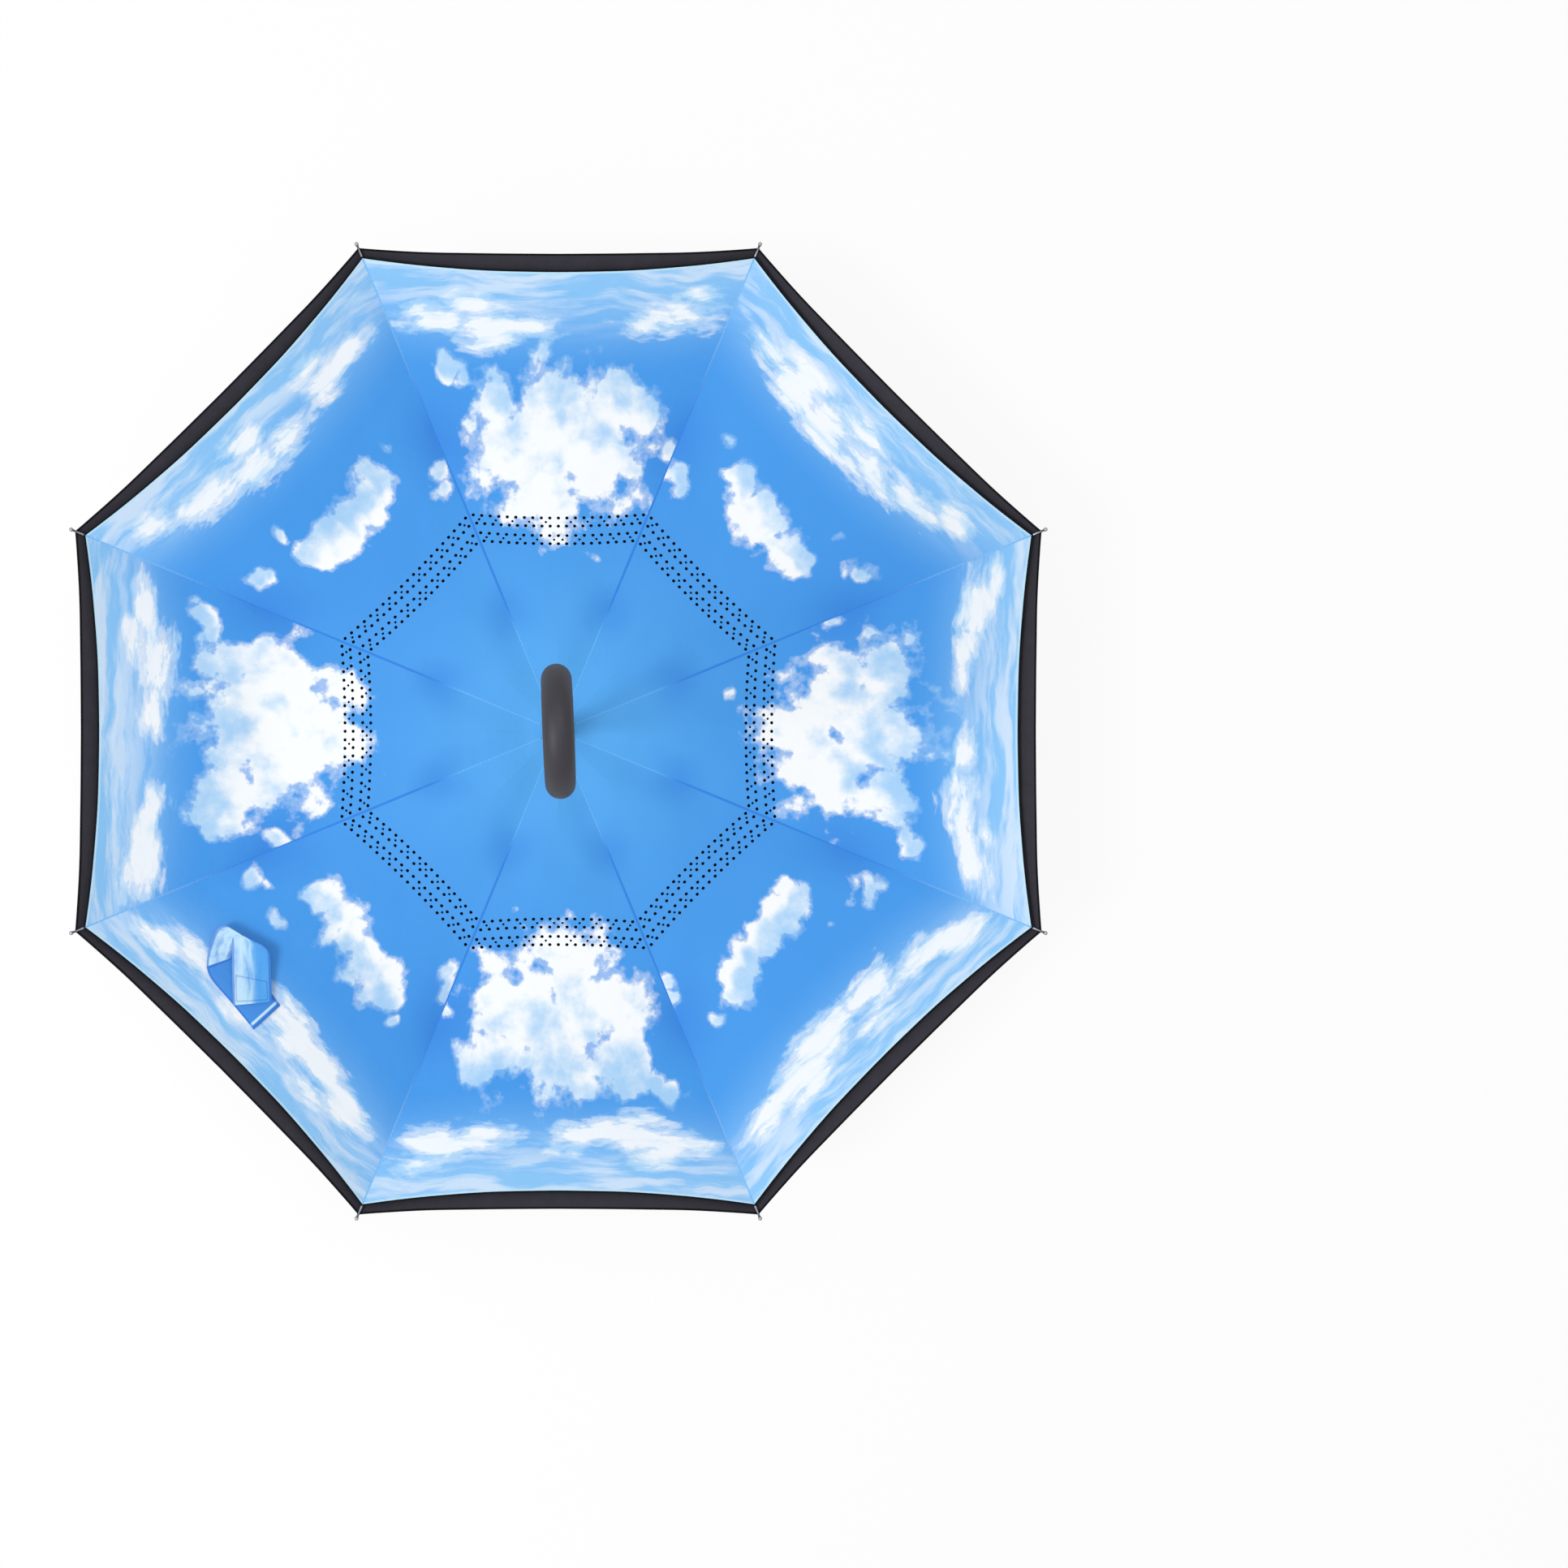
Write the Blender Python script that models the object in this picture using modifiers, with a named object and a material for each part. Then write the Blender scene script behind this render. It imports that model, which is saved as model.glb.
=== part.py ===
# Inverted umbrella with a C-shaped handle: open, with the handle up. Metres, +Z towards the handle.
# Heights are built up from the flat end of the top cap, and the frame's origin is the middle of the C.

import math

import bmesh
import bpy
from mathutils import Matrix

RIB_COUNT = 8
RIB_STEP = 2 * math.pi / RIB_COUNT
FIRST_RIB = RIB_STEP / 2

# Clearances shared by all pieces
FIT_GAP = 0.0003
FABRIC_GAP = 0.0005
CUT_OVERRUN = 0.002

# Shaft tube
SHAFT_RADIUS = 0.006
SHAFT_WALL = 0.0008
NOTCH_WIDTH = 0.004
NOTCH_HEIGHT = 0.005

# Root eyes of the ribs and stretchers, and the wire rings that they swing on
EYE_RADIUS = 0.0022
EYE_BLADE = 0.0022
BLADE_HALF_HEIGHT = 0.0016
WIRE_RADIUS = 0.0006

# Top cap
CAP_RADIUS = 0.012
CAP_FLAT_RADIUS = 0.0085
CAP_HEIGHT = 0.0062
CAP_SPIGOT_LENGTH = 0.010

# Crown, which carries the stretchers
CROWN_RADIUS = 0.0165
CROWN_PIVOT_RADIUS = 0.012
CROWN_BASE = 0.0083
CROWN_LIP = 0.0045
CROWN_CHAMFER = 0.0012

# Runner, which carries the ribs, and its collar and latch sleeve
OPEN_LIFT = 0.077
HUB_RADIUS = 0.0175
HUB_PIVOT_RADIUS = 0.0125
HUB_SKIRT = 0.0050
HUB_TOP = 0.0040
HUB_CHAMFER = 0.0010
COLLAR_RADIUS = 0.0155
COLLAR_WAIST_RADIUS = 0.0138
COLLAR_HEIGHT = 0.011
COLLAR_ROLL = 0.0042
SLEEVE_RADIUS = 0.0105
SLEEVE_WALL = 0.0014
SLEEVE_HEIGHT = 0.0255
SLEEVE_TOP_WALL = 0.0025
SLEEVE_CHAMFER = 0.0006

# Release button in the sleeve
BUTTON_AZIMUTH = math.radians(270)
BUTTON_SPAN = math.radians(84)
BUTTON_HEIGHT = 0.0165
BUTTON_PROUD = 0.0004
BUTTON_FLANGE_WALL = 0.0005
BUTTON_FLANGE_RIM = 0.0012
BUTTON_CORNER = 0.003
SPRING_WIDTH = 0.004
SPRING_LENGTH = 0.012
SPRING_THICKNESS = 0.0003

# Ribs: a straight root, then one arc to the tip
RIB_RADIUS = 0.00175
RIB_DROP = math.radians(4)
RIB_STRAIGHT = 0.192
RIB_ARC_RADIUS = 0.456
RIB_TIP_SLOPE = math.radians(38)
RIB_ROD_START = 0.008
RIB_BLADE_LENGTH = 0.014
RIB_ARC_STEPS = 11
JOINT_LENGTH = 0.014
JOINT_WIDTH = 0.0037
JOINT_DEPTH = 0.0048
JOINT_DROP = 0.0026

# Stretchers: a channel that forks round the rib
JOINT_AT = 0.232
CHANNEL_WALL = 0.0008
CHANNEL_HEIGHT = 0.0042
CHANNEL_START = 0.009
CHANNEL_FLARE = 0.014
STRETCHER_BLADE_LENGTH = 0.016
FORK_LENGTH = 0.078
FORK_EYE_RADIUS = 0.0032
RIVET_RADIUS = 0.0017
RIVET_HEIGHT = 0.0005

# Rib tips
TIP_LENGTH = 0.024
TIP_SOCKET = 0.008
TIP_RADIUS = 0.0026
TIP_NECK_RADIUS = 0.0015
TIP_BALL_RADIUS = 0.0028

# Canopy layers: corner places are measured back from the ends of the tips, along the rib
FABRIC_THICKNESS = 0.0004
SEAM_GAP = 0.0006
SKY_CORNER_BACK = 0.025
OUTER_CORNER_BACK = 0.0085
HEM_SAG = 0.011
PANEL_LIFT = 0.005
FABRIC_SHOULDER = 0.030
PANEL_COLUMNS = 6
SKY_STATIONS = 9
OUTER_STATIONS = 7
OUTER_CONE_STATIONS = 3

# Tie strap, folded on the sky layer
STRAP_PANEL = 6
STRAP_OUT = 0.412
STRAP_SIDE = -0.054
STRAP_TURN = math.radians(43)
STRAP_LENGTH = 0.086
STRAP_WIDTH = 0.041
STRAP_THICKNESS = 0.003

# C-shaped handle and its neck
NECK_RADIUS = 0.0095
NECK_LENGTH = 0.060
NECK_CHAMFER = 0.0008
NECK_SOCKET = 0.050
GRIP_RADIUS = 0.00975
GRIP_WIDTH = 0.073
GRIP_HEIGHT = 0.150
GRIP_ARC_HEIGHT = 0.038
GRIP_GAP = 0.0265
GRIP_END_ROUND = 0.0012
GRIP_TURN = math.radians(92.3)

# How far the line from a rib's pivot to its joint leans from the shaft when the umbrella is closed
CLOSED_LEAN = math.radians(5.5)


def rib_slope(along):
    """Slope of the rib at a distance from its pivot."""
    return -RIB_DROP + max(0, along - RIB_STRAIGHT) / RIB_ARC_RADIUS


def rib_line(along, offset=0.0):
    """(outward, up) of the rib's centre line, or of a line that lies offset above it."""
    slope = rib_slope(along)
    straight = min(along, RIB_STRAIGHT)
    out = straight * math.cos(RIB_DROP) + RIB_ARC_RADIUS * (math.sin(slope) + math.sin(RIB_DROP))
    up = -straight * math.sin(RIB_DROP) + RIB_ARC_RADIUS * (math.cos(RIB_DROP) - math.cos(slope))
    return out - offset * math.sin(slope), up + offset * math.cos(slope)


def joint_place():
    """(outward, up) of the rib joint from the stretcher's pivot."""
    out, up = rib_line(JOINT_AT, -JOINT_DROP)
    return out + HUB_PIVOT_RADIUS - CROWN_PIVOT_RADIUS, up + OPEN_LIFT


def closing_travel():
    """How far the runner slides up the shaft, from open to closed."""
    root = math.hypot(*rib_line(JOINT_AT, -JOINT_DROP))
    out = HUB_PIVOT_RADIUS - CROWN_PIVOT_RADIUS + root * math.sin(CLOSED_LEAN)
    stretcher_rise = math.sqrt(math.hypot(*joint_place()) ** 2 - out**2)
    return root * math.cos(CLOSED_LEAN) + stretcher_rise - OPEN_LIFT


# Heights that follow
OUTER_CENTRE_Z = CAP_HEIGHT + FIT_GAP + FABRIC_THICKNESS / 2
CROWN_BOTTOM = OUTER_CENTRE_Z + FABRIC_THICKNESS / 2 + FIT_GAP
CROWN_SLOT_FLOOR = CROWN_BOTTOM + CROWN_BASE
CROWN_PIVOT_Z = CROWN_SLOT_FLOOR + FIT_GAP + EYE_RADIUS
CROWN_TOP = CROWN_PIVOT_Z + CROWN_LIP
HUB_PIVOT_Z = CROWN_PIVOT_Z + OPEN_LIFT
HUB_SLOT_CEILING = HUB_PIVOT_Z + EYE_RADIUS + FIT_GAP
HUB_CEILING = HUB_SLOT_CEILING + HUB_TOP
SKY_CENTRE_Z = HUB_CEILING + FIT_GAP + FABRIC_THICKNESS / 2
COLLAR_BOTTOM = SKY_CENTRE_Z + FABRIC_THICKNESS / 2 + FIT_GAP
SLEEVE_BOTTOM = COLLAR_BOTTOM + COLLAR_HEIGHT + FIT_GAP
SLEEVE_TOP = SLEEVE_BOTTOM + SLEEVE_HEIGHT
NECK_BOTTOM = SLEEVE_TOP + closing_travel() + 2 * FIT_GAP
GRIP_BOTTOM = NECK_BOTTOM + NECK_LENGTH
GRIP_CENTRE_Z = GRIP_BOTTOM + GRIP_HEIGHT / 2
SHAFT_BOTTOM = CAP_HEIGHT + FIT_GAP
SHAFT_TOP = NECK_BOTTOM + NECK_SOCKET

# Other sizes that follow
SHAFT_HOLE = SHAFT_RADIUS + FIT_GAP
SLOT_WIDTH = EYE_BLADE + 2 * FIT_GAP
GROOVE_HALF = WIRE_RADIUS + FIT_GAP
FORK_HALF = JOINT_WIDTH / 2 + FIT_GAP
SKY_OFFSET = RIB_RADIUS + FABRIC_GAP + FABRIC_THICKNESS / 2
OUTER_OFFSET = TIP_RADIUS + FABRIC_GAP + FABRIC_THICKNESS / 2
RIB_LENGTH = RIB_STRAIGHT + RIB_ARC_RADIUS * (RIB_TIP_SLOPE + RIB_DROP)
TIP_END = RIB_LENGTH - TIP_SOCKET + TIP_LENGTH


def clear_scene():
    for old in list(bpy.data.objects):
        bpy.data.objects.remove(old, do_unlink=True)


def new_collection(name, hidden=False):
    made = bpy.data.collections.new(name)
    bpy.context.scene.collection.children.link(made)
    made.hide_render = hidden
    return made


def finish_material(name, colour, roughness, metallic=0.0):
    made = bpy.data.materials.new(name)
    made.use_nodes = True
    shader = made.node_tree.nodes["Principled BSDF"]
    shader.inputs["Base Color"].default_value = (*colour, 1.0)
    shader.inputs["Roughness"].default_value = roughness
    shader.inputs["Metallic"].default_value = metallic
    made.diffuse_color = (*colour, 1.0)
    return made


def place(name, data, look, parent, location=(0, 0, 0), turn=0.0, tilt=0.0):
    """Adds a part to the umbrella, turned about Z after it is tilted about Y."""
    part = bpy.data.objects.new(name, data)
    umbrella.objects.link(part)
    part.parent = parent
    part.location = location
    part.rotation_euler = (0, tilt, turn)
    if not data.materials:
        data.materials.append(look)
    return part


def smooth(mesh, angle=math.radians(35)):
    mesh.shade_smooth()
    mesh.set_sharp_from_angle(angle=angle)
    return mesh


def mesh_from(shape):
    """The welded mesh of an object as its modifiers or its curve make it; the object is removed."""
    bpy.context.view_layer.update()
    graph = bpy.context.evaluated_depsgraph_get()
    mesh = bpy.data.meshes.new_from_object(shape.evaluated_get(graph))
    work = bmesh.new()
    work.from_mesh(mesh)
    bmesh.ops.remove_doubles(work, verts=work.verts, dist=FIT_GAP / 100)
    bmesh.ops.recalc_face_normals(work, faces=work.faces)
    work.to_mesh(mesh)
    work.free()
    mesh.transform(shape.matrix_world)
    bpy.data.objects.remove(shape, do_unlink=True)
    return mesh


def draft(name, data):
    shape = bpy.data.objects.new(name, data)
    cutters.objects.link(shape)
    return shape


def combine(name, base, others, operation="UNION"):
    """One mesh from a base mesh and others, joined or cut one after another."""
    body = draft(name, base)
    helpers = []
    for number, other in enumerate(others):
        helpers.append(draft(f"{name}_{number}", other))
        step = body.modifiers.new(f"{operation.lower()}_{number}", "BOOLEAN")
        step.operation = operation
        step.solver = "EXACT"
        step.object = helpers[-1]
    mesh = mesh_from(body)
    for helper in helpers:
        bpy.data.objects.remove(helper, do_unlink=True)
    return mesh


def turned(name, profile, steps, ring=True):
    """A turned mesh. The profile is (radius, height) points that run down the outer side."""
    work = bmesh.new()
    points = [work.verts.new((radius, 0, height)) for radius, height in profile]
    ends = zip(points, points[1:] + points[:1]) if ring else zip(points, points[1:])
    for start, end in ends:
        work.edges.new((start, end))
    mesh = bpy.data.meshes.new(name)
    work.to_mesh(mesh)
    work.free()
    shape = draft(name, mesh)
    lathe = shape.modifiers.new("lathe", "SCREW")
    lathe.steps = steps
    lathe.render_steps = steps
    lathe.use_merge_vertices = not ring
    lathe.merge_threshold = FIT_GAP / 100
    return mesh_from(shape)


def extruded(name, outlines, half_depth):
    """A flat outline, with holes if there are more outlines, extruded along Y. Points are (x, z)."""
    curve = bpy.data.curves.new(name, "CURVE")
    curve.dimensions = "2D"
    curve.fill_mode = "BOTH"
    curve.extrude = half_depth
    for outline in outlines:
        spline = curve.splines.new("POLY")
        spline.points.add(len(outline) - 1)
        for point, (x, z) in zip(spline.points, outline):
            point.co = (x, z, 0, 1)
        spline.use_cyclic_u = True
    shape = draft(name, curve)
    shape.rotation_euler = (math.pi / 2, 0, 0)
    return mesh_from(shape)


def tube(name, points, radius, resolution=2):
    curve = bpy.data.curves.new(name, "CURVE")
    curve.dimensions = "3D"
    curve.bevel_depth = radius
    curve.bevel_resolution = resolution
    curve.use_fill_caps = True
    spline = curve.splines.new("POLY")
    spline.points.add(len(points) - 1)
    for point, place_at in zip(spline.points, points):
        point.co = (*place_at, 1)
    return mesh_from(draft(name, curve))


def box(low, high):
    work = bmesh.new()
    bmesh.ops.create_cube(work, size=1)
    size = [top - bottom for bottom, top in zip(low, high)]
    middle = [(top + bottom) / 2 for bottom, top in zip(low, high)]
    work.transform(Matrix.Translation(middle) @ Matrix.Diagonal((*size, 1)))
    mesh = bpy.data.meshes.new("box")
    work.to_mesh(mesh)
    work.free()
    return mesh


def cylinder(radius, depth, centre, steps):
    """A cylinder along Y."""
    work = bmesh.new()
    bmesh.ops.create_cone(work, cap_ends=True, segments=steps, radius1=radius, radius2=radius, depth=depth)
    work.transform(Matrix.Translation(centre) @ Matrix.Rotation(math.pi / 2, 4, "X"))
    mesh = bpy.data.meshes.new("cylinder")
    work.to_mesh(mesh)
    work.free()
    return mesh


def merged(meshes):
    """Several closed meshes in one, for a cutter with separate blades."""
    work = bmesh.new()
    for mesh in meshes:
        work.from_mesh(mesh)
    joined = bpy.data.meshes.new("blades")
    work.to_mesh(joined)
    work.free()
    return joined


def arc(centre, radius, start, end, steps):
    """Points (x, z) on an arc about a centre, both ends included."""
    angles = [start + (end - start) * step / steps for step in range(steps + 1)]
    return [(centre[0] + radius * math.cos(a), centre[1] + radius * math.sin(a)) for a in angles]


def rib_angle(number):
    return FIRST_RIB + RIB_STEP * number


def around(radius, height, angle):
    return (radius * math.cos(angle), radius * math.sin(angle), height)


def eye_blade(name, length):
    """A flat root blade with its eye, along +X from the eye's centre."""
    outline = arc((0, 0), EYE_RADIUS, math.radians(47), math.radians(313), 8)
    outline += [(length, -BLADE_HALF_HEIGHT), (length, BLADE_HALF_HEIGHT)]
    hole = arc((0, 0), GROOVE_HALF, 0, 2 * math.pi, 8)[:-1]
    return extruded(name, [outline, hole], EYE_BLADE / 2)


def rib_mesh():
    arc_length = RIB_LENGTH - TIP_SOCKET - RIB_STRAIGHT
    arc_stations = [RIB_STRAIGHT + arc_length * n / RIB_ARC_STEPS for n in range(RIB_ARC_STEPS + 1)]
    stations = [RIB_ROD_START] + arc_stations + [RIB_LENGTH]
    rod = tube("rod", [(out, 0, up) for out, up in map(rib_line, stations)], RIB_RADIUS, 1)
    half = JOINT_LENGTH / 2
    block = box((-half, -JOINT_WIDTH / 2, -JOINT_DEPTH), (half, JOINT_WIDTH / 2, RIB_RADIUS))
    out, up = rib_line(JOINT_AT)
    turn = Matrix.Rotation(-rib_slope(JOINT_AT), 4, "Y")
    block.transform(Matrix.Translation((out, 0, up)) @ turn)
    blade = eye_blade("rib_blade", RIB_BLADE_LENGTH)
    blade.transform(Matrix.Rotation(RIB_DROP, 4, "Y"))
    return smooth(combine("rib", rod, [blade, block]))


def channel_mesh(length):
    """A channel open upwards, pinched at its start and full width after the flare."""
    flare_end = CHANNEL_START + CHANNEL_FLARE
    pinched = EYE_BLADE / 2 + CHANNEL_WALL / 4
    full = FORK_HALF + CHANNEL_WALL
    low, high = -CHANNEL_HEIGHT / 2, CHANNEL_HEIGHT / 2
    work = bmesh.new()
    rings = []
    for along, half in ((CHANNEL_START, pinched), (flare_end, full), (length, full)):
        inner = half - CHANNEL_WALL
        floor = low + CHANNEL_WALL
        section = [(-half, low), (-half, high), (-inner, high), (-inner, floor)]
        section += [(-y, z) for y, z in reversed(section)]
        rings.append([work.verts.new((along, y, z)) for y, z in section])
    for first, second in zip(rings, rings[1:]):
        for n in range(len(first)):
            work.faces.new((first[n - 1], first[n], second[n], second[n - 1]))
    work.faces.new(rings[0])
    work.faces.new(rings[-1])
    bmesh.ops.recalc_face_normals(work, faces=work.faces)
    mesh = bpy.data.meshes.new("channel")
    work.to_mesh(mesh)
    work.free()
    return mesh


def stretcher_mesh():
    """The stretcher along +X from its eye, forked at its far end, with rivet heads outside the fork."""
    length = math.hypot(*joint_place())
    full = FORK_HALF + CHANNEL_WALL
    eyes = cylinder(FORK_EYE_RADIUS, 2 * full, (length, 0, 0), 12)
    rivet = cylinder(RIVET_RADIUS, 2 * (full + RIVET_HEIGHT), (length, 0, 0), 8)
    blade = eye_blade("blade", STRETCHER_BLADE_LENGTH)
    solid = combine("stretcher_solid", channel_mesh(length), [eyes, rivet, blade])
    deep = FORK_EYE_RADIUS + CUT_OVERRUN
    slot = box((length - FORK_LENGTH, -FORK_HALF, -deep), (length + deep, FORK_HALF, deep))
    return smooth(combine("stretcher", solid, [slot], "DIFFERENCE"))


def tip_mesh():
    """The tip along +X from the end of the rib: a socket over the rod, a neck and a ball."""
    socket_wall = RIB_RADIUS + FIT_GAP
    ball_at = TIP_LENGTH - TIP_SOCKET - TIP_BALL_RADIUS
    neck_turn = math.asin(TIP_NECK_RADIUS / TIP_BALL_RADIUS)
    ball = arc((0, ball_at), TIP_BALL_RADIUS, math.pi / 2, neck_turn - math.pi / 2, 4)
    ball = [(max(0, radius), height) for radius, height in ball]
    shoulder = ball_at - 2 * TIP_BALL_RADIUS
    profile = ball + [
        (TIP_NECK_RADIUS, shoulder + TIP_RADIUS / 2),
        (TIP_RADIUS, shoulder),
        (TIP_RADIUS, -TIP_SOCKET),
        (socket_wall, -TIP_SOCKET),
        (socket_wall, FIT_GAP),
        (0, FIT_GAP),
    ]
    tip = turned("tip", profile, 8, ring=False)
    tip.transform(Matrix.Rotation(math.pi / 2, 4, "Y"))
    return smooth(tip)


def slotted_ring(name, profile, pivot_radius, low, high, reach):
    """A turned ring with a slot for each eye, from just inside the eye outwards."""
    inner = pivot_radius - EYE_RADIUS - FIT_GAP
    blades = []
    for number in range(RIB_COUNT):
        blade = box((inner, -SLOT_WIDTH / 2, low), (reach + CUT_OVERRUN, SLOT_WIDTH / 2, high))
        blade.transform(Matrix.Rotation(rib_angle(number), 4, "Z"))
        blades.append(blade)
    return smooth(combine(name, turned(name, profile, 32), [merged(blades)], "DIFFERENCE"))


def grooved_rim(radius, chamfer, top, bottom, groove_at, pivot_radius):
    """The outer side of a ring, top to bottom, with the wire's groove."""
    groove = pivot_radius - GROOVE_HALF
    return [
        (radius - chamfer, top),
        (radius, top - chamfer),
        (radius, groove_at + GROOVE_HALF),
        (groove, groove_at + GROOVE_HALF),
        (groove, groove_at - GROOVE_HALF),
        (radius, groove_at - GROOVE_HALF),
        (radius, bottom + chamfer),
        (radius - chamfer, bottom),
    ]


def wire_ring(name, pivot_radius):
    steps = 32
    turn = 2 * math.pi / steps
    centres = [around(pivot_radius / math.cos(turn / 2), 0, turn * n) for n in range(steps)]
    curve = bpy.data.curves.new(name, "CURVE")
    curve.dimensions = "3D"
    curve.bevel_depth = WIRE_RADIUS
    curve.bevel_resolution = 1
    spline = curve.splines.new("POLY")
    spline.points.add(steps - 1)
    for point, centre in zip(spline.points, centres):
        point.co = (*centre, 1)
    spline.use_cyclic_u = True
    return smooth(mesh_from(draft(name, curve)))


def make_cap(frame):
    spigot = SHAFT_RADIUS - SHAFT_WALL - FIT_GAP
    profile = [
        (0, CAP_HEIGHT + CAP_SPIGOT_LENGTH),
        (spigot, CAP_HEIGHT + CAP_SPIGOT_LENGTH),
        (spigot, CAP_HEIGHT),
        (CAP_RADIUS, CAP_HEIGHT),
    ]
    round_depth = CAP_RADIUS - CAP_FLAT_RADIUS
    profile += arc((CAP_FLAT_RADIUS, round_depth), round_depth, 0, -math.pi / 2, 4)
    profile += [(0, 0)]
    place("top_cap", smooth(turned("top_cap", profile, 32, ring=False)), black_plastic, frame)


def make_shaft(frame):
    profile = [
        (SHAFT_RADIUS, SHAFT_TOP),
        (SHAFT_RADIUS, SHAFT_BOTTOM),
        (SHAFT_RADIUS - SHAFT_WALL, SHAFT_BOTTOM),
        (SHAFT_RADIUS - SHAFT_WALL, SHAFT_TOP),
    ]
    shaft = turned("shaft_tube", profile, 32)
    windows = []
    catch_z = SLEEVE_BOTTOM + (SLEEVE_HEIGHT - SLEEVE_TOP_WALL) / 2
    for height in (catch_z, catch_z + closing_travel()):
        low = (0, -NOTCH_WIDTH / 2, height - NOTCH_HEIGHT / 2)
        high = (SHAFT_RADIUS + CUT_OVERRUN, NOTCH_WIDTH / 2, height + NOTCH_HEIGHT / 2)
        window = box(low, high)
        window.transform(Matrix.Rotation(BUTTON_AZIMUTH + math.pi, 4, "Z"))
        windows.append(window)
    shaft = combine("shaft_tube", shaft, [merged(windows)], "DIFFERENCE")
    place("shaft_tube", smooth(shaft), shaft_metal, frame)


def make_crown(frame):
    pivot = CROWN_PIVOT_RADIUS
    inner = [(SHAFT_HOLE, CROWN_BOTTOM), (SHAFT_HOLE, CROWN_TOP)]
    rim = grooved_rim(CROWN_RADIUS, CROWN_CHAMFER, CROWN_TOP, CROWN_BOTTOM, CROWN_PIVOT_Z, pivot)
    top = CROWN_TOP + CUT_OVERRUN
    crown = slotted_ring("crown", rim + inner, pivot, CROWN_SLOT_FLOOR, top, CROWN_RADIUS)
    place("crown", crown, black_plastic, frame)
    place("crown_wire", wire_ring("crown_wire", CROWN_PIVOT_RADIUS), bright_steel, frame, (0, 0, CROWN_PIVOT_Z))


def make_runner(runner):
    """The runner's pieces, at heights measured from the ribs' pivots."""
    hub_top = HUB_CEILING - HUB_PIVOT_Z
    ceiling = HUB_SLOT_CEILING - HUB_PIVOT_Z
    inner = [(SHAFT_HOLE, -HUB_SKIRT), (SHAFT_HOLE, hub_top)]
    rim = grooved_rim(HUB_RADIUS, HUB_CHAMFER, hub_top, -HUB_SKIRT, 0, HUB_PIVOT_RADIUS)
    low = -HUB_SKIRT - CUT_OVERRUN
    hub = slotted_ring("runner_hub", rim + inner, HUB_PIVOT_RADIUS, low, ceiling, HUB_RADIUS)
    place("runner_hub", hub, black_plastic, runner)
    place("runner_wire", wire_ring("runner_wire", HUB_PIVOT_RADIUS), bright_steel, runner)

    bottom = COLLAR_BOTTOM - HUB_PIVOT_Z
    top = bottom + COLLAR_HEIGHT
    roll = COLLAR_ROLL / 2
    waist = COLLAR_WAIST_RADIUS
    profile = [(SHAFT_HOLE, top), (waist - roll, top)]
    profile += arc((waist - roll, top - roll), roll, math.pi / 2, -math.pi / 3, 5)
    profile += arc((COLLAR_RADIUS - roll, bottom + roll), roll, math.pi / 3, -math.pi / 6, 3)
    profile += [(COLLAR_RADIUS - roll / 2, bottom), (SHAFT_HOLE, bottom)]
    place("runner_collar", smooth(turned("runner_collar", profile, 28)), gloss_plastic, runner)


def make_sleeve(runner):
    bottom = SLEEVE_BOTTOM - HUB_PIVOT_Z
    top = bottom + SLEEVE_HEIGHT
    inside = SLEEVE_RADIUS - SLEEVE_WALL
    profile = [
        (SHAFT_HOLE, top),
        (SLEEVE_RADIUS - SLEEVE_CHAMFER, top),
        (SLEEVE_RADIUS, top - SLEEVE_CHAMFER),
        (SLEEVE_RADIUS, bottom),
        (inside, bottom),
        (inside, top - SLEEVE_TOP_WALL),
        (SHAFT_HOLE, top - SLEEVE_TOP_WALL),
    ]
    middle = button_height() - HUB_PIVOT_Z
    window = button_wall(0, SLEEVE_RADIUS + CUT_OVERRUN, FIT_GAP, middle)
    sleeve = combine("runner_sleeve", turned("runner_sleeve", profile, 40), [window], "DIFFERENCE")
    place("runner_sleeve", smooth(sleeve), gloss_plastic, runner)


def button_height():
    return SLEEVE_BOTTOM + (SLEEVE_HEIGHT - SLEEVE_TOP_WALL) / 2


def button_outline(grow):
    """The button's face as seen from its side: (across, up) points with round corners."""
    half_wide = SLEEVE_RADIUS * math.sin(BUTTON_SPAN / 2) + grow
    half_high = BUTTON_HEIGHT / 2 + grow
    round_by = BUTTON_CORNER + grow
    outline = []
    for turn, (x, z) in enumerate(((1, 1), (-1, 1), (-1, -1), (1, -1))):
        centre = (x * (half_wide - round_by), z * (half_high - round_by))
        outline += arc(centre, round_by, turn * math.pi / 2, (turn + 1) * math.pi / 2, 4)
    return outline


def button_wall(inner, outer, grow, height):
    """The part of a round wall, from inner to outer radius, behind the button's outline."""
    plug = extruded("plug", [button_outline(grow)], outer)
    plug.transform(Matrix.Translation((0, -outer, height)))
    low, high = height - BUTTON_HEIGHT, height + BUTTON_HEIGHT
    wall_profile = [(inner, high), (outer, high), (outer, low), (inner, low)]
    wall = turned("wall", wall_profile, 40, ring=bool(inner))
    wall = combine("button_wall", wall, [plug], "INTERSECT")
    wall.transform(Matrix.Rotation(BUTTON_AZIMUTH + math.pi / 2, 4, "Z"))
    return wall


def make_button(runner):
    """The button's face fills the sleeve's window, and its flange behind keeps it in."""
    inside = SLEEVE_RADIUS - SLEEVE_WALL - FIT_GAP
    face = button_wall(inside - BUTTON_FLANGE_WALL / 2, SLEEVE_RADIUS + BUTTON_PROUD, 0, 0)
    flange = button_wall(inside - BUTTON_FLANGE_WALL, inside, BUTTON_FLANGE_RIM, 0)
    button = combine("release_button", face, [flange])
    height = button_height() - HUB_PIVOT_Z
    place("release_button", smooth(button), button_red, runner, (0, 0, height))


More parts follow.
